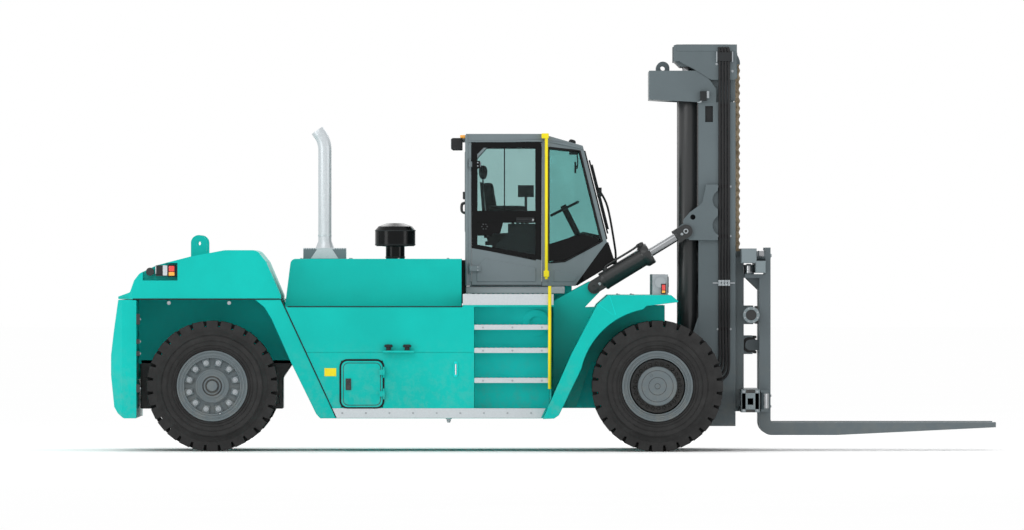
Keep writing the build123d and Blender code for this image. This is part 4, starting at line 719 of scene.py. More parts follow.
# %% [markdown]
# The way up to the cab is trodden every day, so its edges are bare pressed aluminium: a folded cover on
# each tread with rows of raised grips, a cover on the landing, and a kick strip along the foot of the side.
# The wall behind the treads and its round boss are lined in a lighter turquoise, as in the photo: painted light that
# lifts the shade of the recess.

# %% Steps and landing
steps_low, steps_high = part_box("steps")
SIDE_Y = steps_high.y
COVER_T = 0.004
STEP_X = (-0.896, -0.040)
STEP_TOPS = (1.419, 1.159, 0.822)
STEP_T = 0.048
STEP_BACK_Y = 1.062
LANDING_X = (steps_high.x - 1.019, steps_high.x)
LANDING_Z = (1.625, steps_high.z)
KICK_Z = (steps_low.z, 0.485)


def trodden(piece, x, y, edge_y, foot, top, columns, rows):
    """A folded cover sheet down to foot, with staggered rows of grips on its top."""
    piece.box(x, edge_y, (foot, top + COVER_T))
    piece.box(x, y, (top, top + COVER_T))
    for column in range(columns):
        for row in range(rows):
            spot = (x[0] + (column + 0.5 + 0.25 * (row % 2)) * (x[1] - x[0]) / (columns + 0.25),
                    y[0] + (row + 0.5) * (y[1] - y[0]) / rows, top + COVER_T)
            piece.turned([(0, 0.009), (0.003, 0.007), (0.005, 0.003)], spot, "Z", 8)


KICK_STRIP = [(steps_low.x + 0.004, KICK_Z[0] + 0.004), (-0.148, KICK_Z[0] + 0.004), (-0.098, KICK_Z[1]),
              (steps_low.x - 0.046, KICK_Z[1])]
treads = Piece("step_covers", step_plate)
for sign in SIGNS:
    edge_y = across(sign, SIDE_Y, SIDE_Y + COVER_T)
    for top in STEP_TOPS:
        trodden(treads, STEP_X, across(sign, STEP_BACK_Y, SIDE_Y), edge_y, top - STEP_T - COVER_T, top, 16, 5)
    trodden(treads, LANDING_X, across(sign, 0.79, SIDE_Y), edge_y, LANDING_Z[0] + 0.02, LANDING_Z[1], 18, 9)
    treads.plate(KICK_STRIP, *edge_y)
treads.done(0.0015, "step_metal")

# The liners on the recess walls and round the boss are painted light against the shade of the recess.
liner = Piece("step_liners", liner_painted_light)
rising = STEP_TOPS[::-1]
for low, high in zip((KICK_Z[1],) + rising, rising + (LANDING_Z[0] + STEP_T,)):
    liner.pair((STEP_X[0], STEP_X[1] - 0.016), (STEP_BACK_Y - 0.004, STEP_BACK_Y + 0.002), (low, high - STEP_T))
for sign in SIGNS:
    liner.hoop([(0, 0.1515), (0.0295, 0.1515), (0.0295, 0.0735), (0, 0.0735)],
               (-0.206, sign * STEP_BACK_Y, 1.442), (0, sign, 0))
liner.done(0.001)

fixings = Piece("step_bolts", bolt_zinc)
spots = [(x, top - 0.026) for top in STEP_TOPS for x in (-0.80, -0.47, -0.14)]
for x, z in spots + [(-2.38 + k * 0.265, 0.432) for k in range(9)]:
    fixings.pair_bolt(x, SIDE_Y + COVER_T, z, 0.008, 0.007)
fixings.done(0)

# %% [markdown]
# The right side carries the service points. A rubber seal frames the hatch, which shuts with a paddle latch;
# two filler caps, a sight gauge and a drain plug belong to the tank behind the panel. A small yellow plate is
# left blank.

# %% Service side
def rounded_loop(x0, x1, z0, z1, radius, y, steps=6):
    """Points of a rounded rectangle that stands across Y."""
    points = []
    corners = ((x1 - radius, z1 - radius, 0), (x0 + radius, z1 - radius, 90), (x0 + radius, z0 + radius, 180),
               (x1 - radius, z0 + radius, 270))
    for x, z, start in corners:
        for k in range(steps + 1):
            angle = math.radians(start + 90 * k / steps)
            points.append((x + radius * math.cos(angle), y, z + radius * math.sin(angle)))
    return points + points[:1]


hatch_low, hatch_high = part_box("hatch")
HATCH_X = (hatch_low.x, hatch_low.x + 0.462)
HATCH_Z = (hatch_low.z, hatch_high.z)
FACE = -SIDE_Y
HATCH_FACE = FACE - 0.015
seal = Piece("hatch_seal", seal_rubber)
seal.pipe(rounded_loop(HATCH_X[0] - 0.012, HATCH_X[1] + 0.012, HATCH_Z[0] - 0.008, HATCH_Z[1] + 0.012, 0.078,
                       FACE - 0.001), 0.0105, 8, 1)
seal.done(0)
latch = Piece("hatch_latch", black_paint, "hatch")
latch.pipe(rounded_loop(HATCH_X[0] + 0.022, HATCH_X[1] - 0.022, HATCH_Z[0] + 0.022, HATCH_Z[1] - 0.022, 0.055,
                        HATCH_FACE), 0.004, 8, 1)
latch.box((-2.342, -2.280), (HATCH_FACE - 0.010, HATCH_FACE + 0.002), (0.690, 0.820))
latch.box((-2.330, -2.292), (HATCH_FACE - 0.024, HATCH_FACE - 0.008), (0.705, 0.765))
latch.rod((-2.311, HATCH_FACE - 0.008, 0.795), (-2.311, HATCH_FACE - 0.022, 0.795), 0.014)
latch.done(0.003)

FILLERS = (-1.861, -1.652)
SHELF_Z = 1.134
CAP_R = 0.043
CAP_RIBS = 10
shelf = Piece("filler_shelf", body_paint)
shelf.box((-1.925, -1.570), (FACE - 0.088, FACE + 0.002), (SHELF_Z - 0.024, SHELF_Z))
shelf.done(0.006)
caps = Piece("filler_caps", cab_plastic)
for x in FILLERS:
    caps.turned([(-0.004, 0.034), (0.006, 0.034), (0.008, 0.027), (0.036, 0.027), (0.038, CAP_R), (0.060, CAP_R),
                 (0.068, 0.036)], (x, FACE - 0.044, SHELF_Z), "Z", 28)
    for k in range(CAP_RIBS):
        angle = k * math.tau / CAP_RIBS
        rib_x, rib_y = x + CAP_R * math.cos(angle), FACE - 0.044 + CAP_R * math.sin(angle)
        caps.box((rib_x - 0.004, rib_x + 0.004), (rib_y - 0.004, rib_y + 0.004), (SHELF_Z + 0.040, SHELF_Z + 0.060))
caps.done(0.002)
GAUGE_X = -1.106
gauge = Piece("sight_gauge", clear_lens)
gauge.rod((GAUGE_X, FACE - 0.010, 0.862), (GAUGE_X, FACE - 0.010, 0.984), 0.007)
gauge.done(0)
ends = Piece("gauge_holder", lightened_arch_paint)
ends.pipe(rounded_loop(GAUGE_X - 0.018, GAUGE_X + 0.018, 0.838, 1.008, 0.017, FACE - 0.006), 0.006, 8, 1)
for z in (0.852, 0.994):
    ends.box((GAUGE_X - 0.014, GAUGE_X + 0.014), (FACE - 0.018, FACE + 0.002), (z - 0.012, z + 0.012))
    ends.bolt((GAUGE_X, FACE - 0.018, z), (0, -1, 0), 0.008, 0.008)
ends.done(0.002)
plug = Piece("drain_plug", bolt_zinc)
plug.turned([(-0.002, 0.034), (0.010, 0.034), (0.012, 0.022), (0.030, 0.022)], (-1.185, -1.30, KICK_Z[0]),
            (0, 0, -1), 24)
plug.bolt((-1.185, -1.30, KICK_Z[0] - 0.028), (0, 0, -1), 0.018, 0.020)
plug.done(0.001)
blank = Piece("blank_plate", yellow_paint)
blank.box((-2.580, -2.448), (FACE - 0.003, FACE + 0.001), (0.846, 0.936))
for x in (-2.568, -2.460):
    for z in (0.858, 0.924):
        blank.turned([(0, 0.005), (0.003, 0.003)], (x, FACE - 0.003, z), (0, -1, 0), 10)
blank.done(0.001)

# %% [markdown]
# The rear end is one heavy casting under a pressed cover. A rubber strip closes the joint between them,
# stays sit on the casting's inner edge, and the lamps look out of a recess on each side.
# The lifting lugs are drawn again with a round crown; the eye stays where the solid's bore is.

# %% Rear end
cover_low, cover_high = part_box("rear_cover")
weight_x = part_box("counterweight")[1].x
DECK_Z = cover_low.z
STRIP_Y = (SIDE_Y - 0.004, SIDE_Y + 0.004)
strip = Piece("cover_seal", seal_rubber)
strip.pair((cover_low.x + 0.17, cover_high.x - 0.01), STRIP_Y, (DECK_Z - 0.007, DECK_Z + 0.007))
strip.pair_plate([(-3.074, 1.711), (-2.456, 0.386), (-2.444, 0.386), (-3.060, 1.711)], *STRIP_Y)
strip.pair((-2.995, -1.035), STRIP_Y, (1.620, 1.632))
strip.done(0.001)
stays = Piece("weight_stays", black_paint)
heads = Piece("weight_bolts", bolt_zinc)
for z, height in ((1.486, 0.12), (1.235, 0.05), (1.100, 0.05), (0.709, 0.09)):
    stays.pair((weight_x - 0.004, weight_x + 0.040), (1.345, 1.398), (z - height / 2, z + height / 2))
    for sign in SIGNS:
        heads.bolt((weight_x + 0.040, sign * 1.372, z), "X", 0.012, 0.012)
for x in (-4.326, -3.650):
    heads.pair_bolt(x, SIDE_Y, 1.668, 0.015, 0.012)
stays.done(0.003)
heads.done(0)
LAMP_Y = 1.364
for material, z in ((red_lens, (2.020, 2.086)), (amber_lens, (1.972, 2.016))):
    lens = Piece(f"rear_{material.name}", material)
    lens.pair((-4.330, -4.262), (LAMP_Y - 0.03, LAMP_Y + 0.018), z)
    lens.done(0.008)
work = Piece("rear_work_lamps", cab_plastic)
shells = Piece("rear_lamp_shells", step_plate)
glass = Piece("rear_work_glasses", clear_lens)
LAMP_DEPTH = (1.300, LAMP_Y + 0.012)
work.pair((-4.470, -4.392), LAMP_DEPTH, (1.985, 2.092))
for sign in SIGNS:
    near, far = across(sign, *LAMP_DEPTH)
    work.box((-4.345, -4.245), (near, far - 0.004), (1.960, 2.096))
shells.pair((-4.396, -4.344), LAMP_DEPTH, (1.975, 2.090))
glass.pair((-4.478, -4.466), (LAMP_DEPTH[0] + 0.012, LAMP_DEPTH[1] - 0.012), (1.996, 2.082))
work.done(0.010)
shells.done(0.004)
glass.done(0.003)

lug_low, lug_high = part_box("lifting_lugs")
LUG_R = (lug_high.x - lug_low.x) / 2
LUG_Y = (0.68, 0.74)
CROWN = Vector((lug_low.x + LUG_R, 0, lug_high.z - LUG_R))
LUG_EYE = Vector((lug_low.x + 0.085, 0, lug_high.z - 0.094))
LUG_EYE_R = 0.028
lugs = Piece("lifting_eyes", body_paint)
lug_depth = CROWN.z - lug_low.z
corners = [math.atan2(-lug_depth, x) % math.tau for x in (-LUG_R, LUG_R)]
angles = sorted([k * math.tau / 48 for k in range(48)] + corners)
for sign in SIGNS:
    rings = []
    for angle in angles + angles[:1]:
        c, s = math.cos(angle), math.sin(angle)
        reach = LUG_R if s >= 0 else min(LUG_R / max(abs(c), 0.001), lug_depth / max(-s, 0.001))
        section = ((LUG_EYE, LUG_EYE_R, LUG_Y[0]), (LUG_EYE, LUG_EYE_R, LUG_Y[1]), (CROWN, reach, LUG_Y[1]),
                   (CROWN, reach, LUG_Y[0]))
        rings.append([(at.x + r * c, sign * y, at.z + r * s) for at, r, y in section])
    lugs.skin(rings, closed_ends=False)
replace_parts(lugs.done(0.006, "body_paint"), "lifting_lugs")
axle_box = Piece("steer_axle_box", black_paint)
axle_box.plate([(-4.675, 0.470), (-3.060, 0.470), (-3.060, 0.820), (-2.960, 0.970), (-2.960, 1.030), (-4.675, 1.030)],
               -0.30, 0.30)
for x in (-4.50, -3.15):
    axle_box.box((x - 0.05, x + 0.05), (-0.34, 0.34), (0.52, 0.62))
axle_box.done(0.012)

# %% [markdown]
# The cab's sides are straight to just ahead of the door and then draw in towards the nose, so that the
# driver sees past the mast. Everything fixed to the side follows that plan through one small function.

# %% Cab plan
cab_low, cab_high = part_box("cab_frame")
CAB_Y = 0.760
NOSE_Y = 0.590
TAPER_X = (-0.070, 0.330)
SCREEN_FOOT = (0.594, 2.365)
SCREEN_TOP = (0.324, 3.440)


def cab_side(x):
    """How far the cab's outer face stands from the centre line at x."""
    share = (x - TAPER_X[0]) / (TAPER_X[1] - TAPER_X[0])
    return CAB_Y + min(max(share, 0.0), 1.0) * (NOSE_Y - CAB_Y)


def screen_x(z):
    """Outer face of the windshield at a height."""
    return SCREEN_FOOT[0] + (z - SCREEN_FOOT[1]) * (SCREEN_TOP[0] - SCREEN_FOOT[0]) / (SCREEN_TOP[1] - SCREEN_FOOT[1])


def side_panel(piece, outline, sign, out, thick):
    """A thin panel over the cab's side, bent along with it."""
    piece.skin([[(x, sign * (cab_side(x) + at), z) for x, z in outline] for at in (out, out + thick)])


def stations(corners, count):
    """Points all round a closed loop, count to each edge, and the first again."""
    loop = [Vector(corner) for corner in corners]
    points = [start.lerp(end, n / count) for start, end in zip(loop, loop[1:] + loop[:1]) for n in range(count)]
    return points + points[:1]


print("cab is", round(cab_high.z - cab_low.z, 2), "m tall between floor and roof")

# %% [markdown]
# The door is mostly glass. Its frame and the rail with the handle are gloss black, so that from outside
# they read as one dark field with the panes; below, the skin is grey and pressed with a raised field.

# %% Doors
DOOR_X = (-0.930, -0.141)
DOOR_TOP = 3.480
PANE_X = (-0.868, -0.210)
PANE_Z = (2.705, 3.416)
HANDLE_RAIL = (2.575, 2.705)


def door_foot(x):
    """Height of the slanted line where the black field ends."""
    return 2.285 + (x - DOOR_X[0]) * (2.148 - 2.285) / (DOOR_X[1] - DOOR_X[0])


def on_foot(x0, x1, top0, top1):
    """A side outline that stands on that slanted line."""
    return [(x0, door_foot(x0)), (x1, door_foot(x1)), (x1, top1), (x0, top0)]


FRAME_STRIPS = (
    rect(*DOOR_X, PANE_Z[1], DOOR_TOP),
    on_foot(DOOR_X[0], PANE_X[0], PANE_Z[1], PANE_Z[1]),
    on_foot(PANE_X[1], DOOR_X[1], PANE_Z[1], PANE_Z[1]),
    [(PANE_X[0], PANE_Z[1] - 0.075), (PANE_X[0] + 0.075, PANE_Z[1]), (PANE_X[0], PANE_Z[1])],
)
SUNK_STRIPS = (
    rect(*PANE_X, *HANDLE_RAIL),
    on_foot(*PANE_X, door_foot(PANE_X[0]) + 0.05, door_foot(PANE_X[1]) + 0.05),
    [(PANE_X[0], 2.427), (-0.694, 2.427), (-0.690, 2.449), (-0.611, 2.449), (-0.575, HANDLE_RAIL[0]),
     (PANE_X[0], HANDLE_RAIL[0])],
)
RAISED_SKIN = [(-0.872, 1.905), (-0.205, 1.905), (-0.205, 2.066), (-0.775, 2.165), (-0.872, 2.075)]
for name, sign in SIDES:
    body = f"door_{name}"
    face = sign * CAB_Y
    field = Piece(f"door_field_{name}", gloss_black, body)
    for outline in FRAME_STRIPS:
        field.plate(outline, *across(sign, CAB_Y - 0.004, CAB_Y + 0.003))
    for outline in SUNK_STRIPS:
        field.plate(outline, *across(sign, CAB_Y - 0.018, CAB_Y + 0.002))
    field.box((-0.566, -0.554), across(sign, CAB_Y - 0.018, CAB_Y), PANE_Z)
    field.box((-0.924, -0.836), across(sign, CAB_Y, CAB_Y + 0.034), (3.190, 3.268))
    field.done(0.0015)
    trim = Piece(f"door_handle_{name}", cab_plastic, body)
    trim.box((-0.426, -0.222), across(sign, CAB_Y, 0.772), (2.572, 2.630))
    trim.pipe([(-0.416, face, 2.604), (-0.400, sign * 0.795, 2.604), (-0.270, sign * 0.795, 2.604),
               (-0.252, face, 2.604)], 0.011, 10)
    trim.done(0.003)
    lock = Piece(f"door_lock_{name}", bolt_zinc, body)
    lock.turned([(-0.002, 0.014), (0.014, 0.014), (0.017, 0.010)], (-0.240, sign * 0.770, 2.602), (0, sign, 0), 20)
    for angle, x, z in ring_of(6, 0.030, Vector((-0.784, 0, 2.527))):
        lock.turned([(0, 0.004), (0.002, 0.003)], (x, sign * (CAB_Y + 0.002), z), (0, sign, 0), 8)
    for z in (3.211, 3.247, 2.035, 2.071):
        lock.bolt((-0.860, sign * (CAB_Y + 0.030), z), (0, sign, 0), 0.008, 0.007, False)
    lock.done(0)
    skin = Piece(f"door_skin_{name}", cab_paint, body)
    skin.plate(RAISED_SKIN, *across(sign, CAB_Y - 0.004, CAB_Y + 0.007))
    skin.done(0.006, "cab_paint")

# %% [markdown]
# Ahead of the door a fixed pane wraps the nose. Rubber holds every fixed pane, and a black shelf of trim
# shows through the foot of the glass. Below it the nose skin is grey. The underside, which faces the mast,
# and the slanted corner facets are black panels: painted shade on faces turned away from the light.

# %% Cab nose and panes
NOSE_PANE = ((-0.062, 2.120), (0.121, 2.136), (0.346, 2.256), (0.540, 2.362), (0.290, 3.380), (-0.062, 3.417))
TRIM_FOOT = ((-0.055, 2.135), (0.121, 2.150), (0.346, 2.268), (0.500, 2.352))
TRIM_TOP = ((-0.055, 2.330), (0.150, 2.395), (0.330, 2.470), (0.500, 2.400))
NOSE_FIELD = ((0.000, 1.905), (0.225, 1.905), (0.278, 1.972), (0.000, 2.040))
NOSE_BAND = TRIM_FOOT[:3] + ((0.520, 2.362), (0.490, 2.400), (0.330, 2.440), (0.150, 2.395), (-0.055, 2.330))
# Black panels over the chamfered nose corners: painted shade on a facet that turns away from the light.
NOSE_CORNER_SHADE = (((0.240, 1.868), (0.262, 1.868), (0.330, 1.910), (0.330, 1.992)),
                ((0.330, 1.910), (0.684, 2.122), (0.610, 2.346), (0.588, 2.346), (0.330, 1.992)))
rubber = Piece("pane_rubber", seal_rubber)
inside = Piece("nose_trim", cab_plastic)
grey = Piece("nose_skin", cab_paint)
dark = Piece("nose_underside", gloss_black)
rails = Piece("cab_rails", lamp_grey)
for sign in SIGNS:
    loop = stations([(x, 0, z) for x, z in NOSE_PANE[-1:] + NOSE_PANE[:-1]], 6)
    rubber.pipe([(p.x, sign * cab_side(p.x), p.z) for p in loop], 0.011, 8, 1)
    lower, upper = ([(x, sign * (cab_side(x) - 0.050), z) for x, z in line] for line in (TRIM_FOOT, TRIM_TOP))
    for k in range(3):
        quad = [lower[k], lower[k + 1], upper[k + 1], upper[k]]
        inside.skin([quad, [(x, y - sign * 0.02, z) for x, y, z in quad]])
    side_panel(grey, NOSE_FIELD, sign, -0.004, 0.010)
    side_panel(dark, NOSE_BAND, sign, -0.0185, 0.003)
    for x in (-0.88, -0.10):
        dark.rod((x, sign * 0.60, 1.720), (x, sign * 0.60, 1.860), 0.06)
    # The corner panels are painted shade.
    for corner in NOSE_CORNER_SHADE:
        side_panel(dark, corner, sign, -0.002, 0.005)
rails.pair((-0.995, 0.120), (0.670, 0.730), (1.772, 1.852))
rubber.pipe(stations([(screen_x(z) + 0.004, y, z) for y, z in rect(-0.525, 0.525, 2.395, 3.375)], 8), 0.012, 8, 1)
rubber.pipe(stations([(-0.996, y, z) for y, z in rect(-0.605, 0.605, 2.475, 3.365)], 8), 0.012, 8, 1)
rubber.box((-1.046, -0.992), (-0.72, 0.72), (1.660, 2.150))
# A thin black strip across the nose along the chamfer's edges: painted shade under the nose.
dark.plate([(0.262, 1.862), (0.690, 2.120), (0.612, 2.352), (0.600, 2.352), (0.676, 2.122), (0.252, 1.866)],
           -NOSE_Y + 0.01, NOSE_Y - 0.01)
rubber.done(0)
inside.done(0.003)
grey.done(0.004, "cab_paint")
dark.done(0.002)
rails.done(0.006)

# %% [markdown]
# Two wipers sweep the windshield on parallel arms. Inside hang the mirror and the sun blind; outside are
# the work lamps at the rear, a marker lamp at each rear corner, and the rain gutter round the roof.

# %% Cab fittings
wipers = Piece("wipers", cab_plastic)
for y in (-0.24, 0.20):
    for arm_y in (y - 0.012, y + 0.012):
        wipers.pipe([(0.700, arm_y, 2.150), (0.690, arm_y, 2.300), (screen_x(2.75) + 0.110, arm_y, 2.75),
                     (screen_x(2.95) + 0.060, arm_y, 2.95)], 0.011, 8)
    wipers.box((0.655, 0.712), (y - 0.035, y + 0.035), (2.100, 2.170))
    for low, high, out, wide in ((2.45, 3.28, 0.036, 0.010), (2.50, 3.23, 0.055, 0.014)):
        blade = [(screen_x(z) + out + d, z) for z, d in ((low, -0.008), (high, -0.008), (high, 0.008), (low, 0.008))]
        wipers.plate(blade, y - wide, y + wide)
    wipers.box((screen_x(2.90) + 0.030, screen_x(2.90) + 0.080), (y - 0.02, y + 0.02), (2.87, 2.97))
wipers.done(0.002)
hung = Piece("cab_mirror_and_blind", cab_plastic)
hung.box((0.175, 0.275), (-0.42, 0.42), (3.345, 3.385))
hung.pipe([(0.262, 0.0, 3.345), (0.270, -0.02, 3.26), (0.265, -0.05, 3.20)], 0.007, 8)
hung.box((0.232, 0.252), (-0.16, 0.08), (3.135, 3.260))
hung.rod((0.25, -0.05, 3.20), (0.27, -0.05, 3.20), 0.018)
hung.done(0.006)
lamps = Piece("cab_lamp_bodies", cab_plastic)
glasses = Piece("cab_lamp_glasses", clear_lens)
marker = Piece("cab_marker_lamps", amber_lens)
roof = Piece("roof_gutter", cab_paint)
grab = Piece("rear_grabs", black_paint)
hoods = Piece("rail_brackets", yellow_paint)
lamps.pair((-1.150, -1.036), (0.495, 0.625), (3.395, 3.527))
lamps.pair((-1.162, -1.146), (0.499, 0.621), (3.402, 3.520))
glasses.pair((-1.167, -1.158), (0.509, 0.611), (3.412, 3.510))
marker.pair((-1.060, -0.996), (0.63, 0.69), (3.530, 3.560))
grab.pair((-1.030, -0.992), (0.68, 0.72), (2.84, 2.92))
hoods.pair((-0.142, -0.060), (CAB_Y - 0.002, CAB_Y + 0.092), (3.520, 3.578))
hoods.pair((-0.118, -0.056), (CAB_Y - 0.002, CAB_Y + 0.092), (1.958, 2.030))
for sign in SIGNS:
    lamps.turned([(-0.004, 0.040), (0.012, 0.042), (0.030, 0.030), (0.034, 0.012)],
                 (0.205, sign * 0.36, 3.478), (0.28, 0, 0.96), 24)
    roof.pipe([(-0.990, sign * CAB_Y, 3.488), (-0.535, sign * CAB_Y, 3.488), (-0.080, sign * CAB_Y, 3.488),
               (0.325, sign * cab_side(0.325), 3.405)], 0.012, 8, 4)
    post_y = sign * (CAB_Y - 0.010)
    roof.rod((-0.983, post_y, 1.862), (-0.983, post_y, 3.560), 0.020, 16)
    grab.pipe([(x, sign * 0.68, z) for x, z in ((-0.992, 2.80), (-1.040, 2.78), (-1.040, 2.70), (-0.992, 2.68))],
              0.014, 10)
lamps.done(0.006)
glasses.done(0.002)
marker.done(0.006)
roof.done(0.002, "cab_paint")
grab.done(0.003)
hoods.done(0.008, "yellow_paint")

# %% [markdown]
# Leaf chains lift the carriage. Each is a pack of thin plates on pins, waisted between the pins. A chain
# can't be a rigid piece here: one end hangs on the carriage, the other passes over a sheave of the inner
# mast. So each run is left on no body, with its mesh baked where it stands.

# %% Leaf chains
LINK = 0.085
LEAVES = 5
CHAIN_BETWEEN = (0.268, 0.332)
PIN_BETWEEN = (0.262, 0.338)


def leaf_chain(name, node):
    """One run of chain on both sides, from the body above to the body below."""
    low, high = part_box(node)
    x, half, length = (low.x + high.x) / 2, (high.x - low.x) / 2, high.z - low.z
    piece = Piece(name, chain_steel, None)
    count = 200 if length > 1 else 30
    heights = [low.z + k * length / count for k in range(count + 1)]
    pitch = (CHAIN_BETWEEN[1] - CHAIN_BETWEEN[0]) / LEAVES
    for sign in SIGNS:
        for leaf in range(LEAVES):
            y0 = sign * (CHAIN_BETWEEN[0] + leaf * pitch)
            y1 = y0 + sign * 0.8 * pitch
            rows = []
            for z in heights:
                wide = half - 0.014 * (0.5 - 0.5 * math.cos((z - low.z) * math.tau / LINK))
                rows.append([(x - wide, y0, z), (x + wide, y0, z), (x + wide, y1, z), (x - wide, y1, z)])
            piece.skin(rows)
        for k in range(int(length / LINK) + 1):
            z = low.z + k * LINK + 0.012
            if z < high.z:
                piece.rod((x, sign * PIN_BETWEEN[0], z), (x, sign * PIN_BETWEEN[1], z), 0.011, 10)
    obj = piece.done(0)
    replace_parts(obj, node)
    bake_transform(obj)


leaf_chain("front_chain", "chain_front")
leaf_chain("rear_chain", "chain_rear")

# %% [markdown]
# Heavy cheek plates close the crosshead outside the uprights, and a clamp on them holds four hoses. The
# hoses come up the outer mast and cross to the inner one, so their upper ends are left on no body, baked where they
# stand.

# %% Mast head and hoses
HOSES = (1.867, 1.901, 1.935, 1.969)
HOSE_R = 0.0145
# Height and distance from the centre line along a hose's top
HOSE_TOP = ((3.80, 0.697), (3.95, 0.699), (4.10, 0.710), (4.30, 0.710), (4.48, 0.710))
COUPLING = ((0, 0.0155), (0.004, 0.020), (0.024, 0.020), (0.026, 0.016), (0.044, 0.016), (0.046, 0.020),
            (0.066, 0.020), (0.070, 0.0155))
CHEEK_TOP = ((1.348, 4.571), (1.382, 4.581), (2.062, 4.581), (2.062, 4.310), (1.560, 4.310), (1.490, 4.345),
             (1.455, 4.362), (1.415, 4.391), (1.348, 4.391))
CHEEK_FOOT = ((1.560, 4.310), (2.062, 4.310), (2.062, 4.212), (2.032, 4.181), (1.772, 4.181))
cheeks = Piece("crosshead_cheeks", mast_paint, "inner_mast")
clamp = Piece("hose_clamp_blocks", cab_plastic, "inner_mast")
ends = Piece("hose_clamp_ends", bolt_zinc, "inner_mast")
upper = Piece("hose_tops", hose_rubber, None)
lower = Piece("hose_bends", hose_rubber, "outer_mast")
joints = Piece("hose_couplings", bolt_zinc, "outer_mast")
dark = Piece("mast_dark_fittings", cab_plastic, "outer_mast")
cheeks.pair_plate(CHEEK_TOP, 0.626, 0.692)
cheeks.pair_plate(CHEEK_FOOT, 0.684, 0.692)
cheeks.pair_plate(rect(1.382, 2.058, 4.505, 4.577), 0.690, 0.697)
cheeks.pair_plate(rect(1.990, 2.044, 3.945, 4.200), 0.560, 0.625)
clamp.pair((1.838, 2.008), (0.690, 0.730), (4.391, 4.493))
for x in (1.828, 2.006):
    ends.pair((x, x + 0.012), (0.690, 0.730), (4.383, 4.501))
for x, z in ((1.835, 4.36), (2.010, 4.28)):
    ends.pair_bolt(x, 0.692, z, 0.011, 0.010)
joints.pair((1.790, 2.040), (0.680, 0.688), (1.884, 1.898))
joints.pair((1.722, 1.748), (0.678, 0.735), (3.975, 4.055))
dark.pair((1.647, 1.720), (0.678, 0.735), (3.945, 4.053))
dark.pair_plate(rect(1.704, 1.791, 3.706, 3.887), 0.642, 0.650)
for z in (1.371, 2.420, 2.980):
    for x in (1.845, 1.990):
        joints.pair_bolt(x, 0.680, z, 0.009, 0.022)
for sign in SIGNS:
    for k, x in enumerate(HOSES):
        upper.pipe([(x, sign * y, z) for z, y in HOSE_TOP] + [(x - 0.01, sign * 0.706, 4.55)], HOSE_R, 10)
        turn = 0.905 - 0.037 * k
        lower.pipe([(x, sign * 0.697, 1.22), (x, sign * 0.697, turn + 0.16), (x - 0.03, sign * 0.700, turn + 0.05),
                    (x - 0.12, sign * 0.702, turn), (1.70, sign * 0.702, turn)], HOSE_R, 10)
        joints.turned(COUPLING, (x, sign * 0.697, 1.857), "Z", 12)
    joints.pipe([(1.655, sign * 0.706, 3.950), (1.652, sign * 0.706, 3.932), (1.618, sign * 0.700, 3.928)], 0.009, 8)
cheeks.done(0.006, "mast_paint")
clamp.done(0.003)
ends.done(0.001)
stretch = upper.done(0)
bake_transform(stretch)
lower.done(0)
joints.done(0.001)
dark.done(0.003)

# %% [markdown]
# The tilt cylinders lie on a line from a pin on the chassis to an eye on the mast. Only the rod between
# the gland and the eye is plated; the eye and the barrel are painted. All fittings are laid along that line.

# %% Tilt cylinders
PIN = Vector((0.453, 0, 1.845))
EYE = Vector((1.485, 0, 2.475))
TILT_Y = 0.710
LINE = (EYE - PIN).normalized()
LIFT = Vector((-LINE.z, 0, LINE.x))
BARREL_RINGS = (((0.642, 0.099), (0.642, 0.112), (0.656, 0.118), (0.656, 0.099)),
                ((0.735, 0.060), (0.735, 0.112), (0.745, 0.108), (0.745, 0.060)),
                ((0.118, 0.085), (0.118, 0.101), (0.150, 0.104), (0.150, 0.085)))
GLAND_SCREWS = 10
arm_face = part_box("tilt_arms")[1].y
eye_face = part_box("tilt_rod_left")[1].y
for name, sign in SIDES:
    start = PIN + Vector((0, sign * TILT_Y, 0))
    outward = Vector((0, sign, 0))
    plated = Piece(f"tilt_rod_plating_{name}", rod_chrome, f"tilt_rod_{name}")
    plated.rod(start + LINE * 0.60, start + LINE * 1.083, 0.0476, 40)
    plated.done(0)
    fittings = Piece(f"tilt_barrel_fittings_{name}", black_paint, f"tilt_barrel_{name}")
    for profile in BARREL_RINGS:
        fittings.hoop(profile, start, LINE, 48)
    fittings.turned([(0.09, 0.034), (0.150, 0.034), (0.156, 0.028)], start + LINE * 0.695, LIFT, 20)
    fittings.turned([(0.08, 0.026), (0.122, 0.026), (0.126, 0.022)], start + LINE * 0.21, LIFT, 20)
    fittings.pipe([start + LINE * at + LIFT * up
                   for at, up in ((0.22, 0.122), (0.26, 0.135), (0.60, 0.135), (0.68, 0.150))], 0.010, 10)
    fittings.done(0.003)
    studs = Piece(f"tilt_gland_screws_{name}", bolt_zinc, f"tilt_barrel_{name}")
    for k in range(GLAND_SCREWS):
        angle = k * math.tau / GLAND_SCREWS
        spot = start + LINE * 0.735 + (LIFT * math.cos(angle) + Vector((0, math.sin(angle), 0))) * 0.115
        studs.bolt(spot, LINE, 0.007, 0.010, False)
    studs.bolt(start + LINE * 0.07 + outward * 0.055, outward, 0.012, 0.010)
    studs.done(0)
    pins = Piece(f"tilt_pin_cap_{name}", black_paint)
    pins.turned([(-0.004, 0.058), (0.008, 0.058), (0.011, 0.052), (0.011, 0.020), (0.006, 0.018), (0.006, 0.002)],
                PIN + outward * arm_face, outward, 36)
    pins.done(0.001)
    eyes = Piece(f"tilt_eye_cap_{name}", bolt_zinc, f"tilt_rod_{name}")
    eyes.hoop([(0, 0.014), (0, 0.030), (0.008, 0.028), (0.008, 0.016)], EYE + outward * eye_face, outward, 28)
    eyes.bolt(EYE - LINE * 0.055 - LIFT * 0.005 + outward * (eye_face - 0.002), outward, 0.011, 0.009)
    eyes.done(0.001)

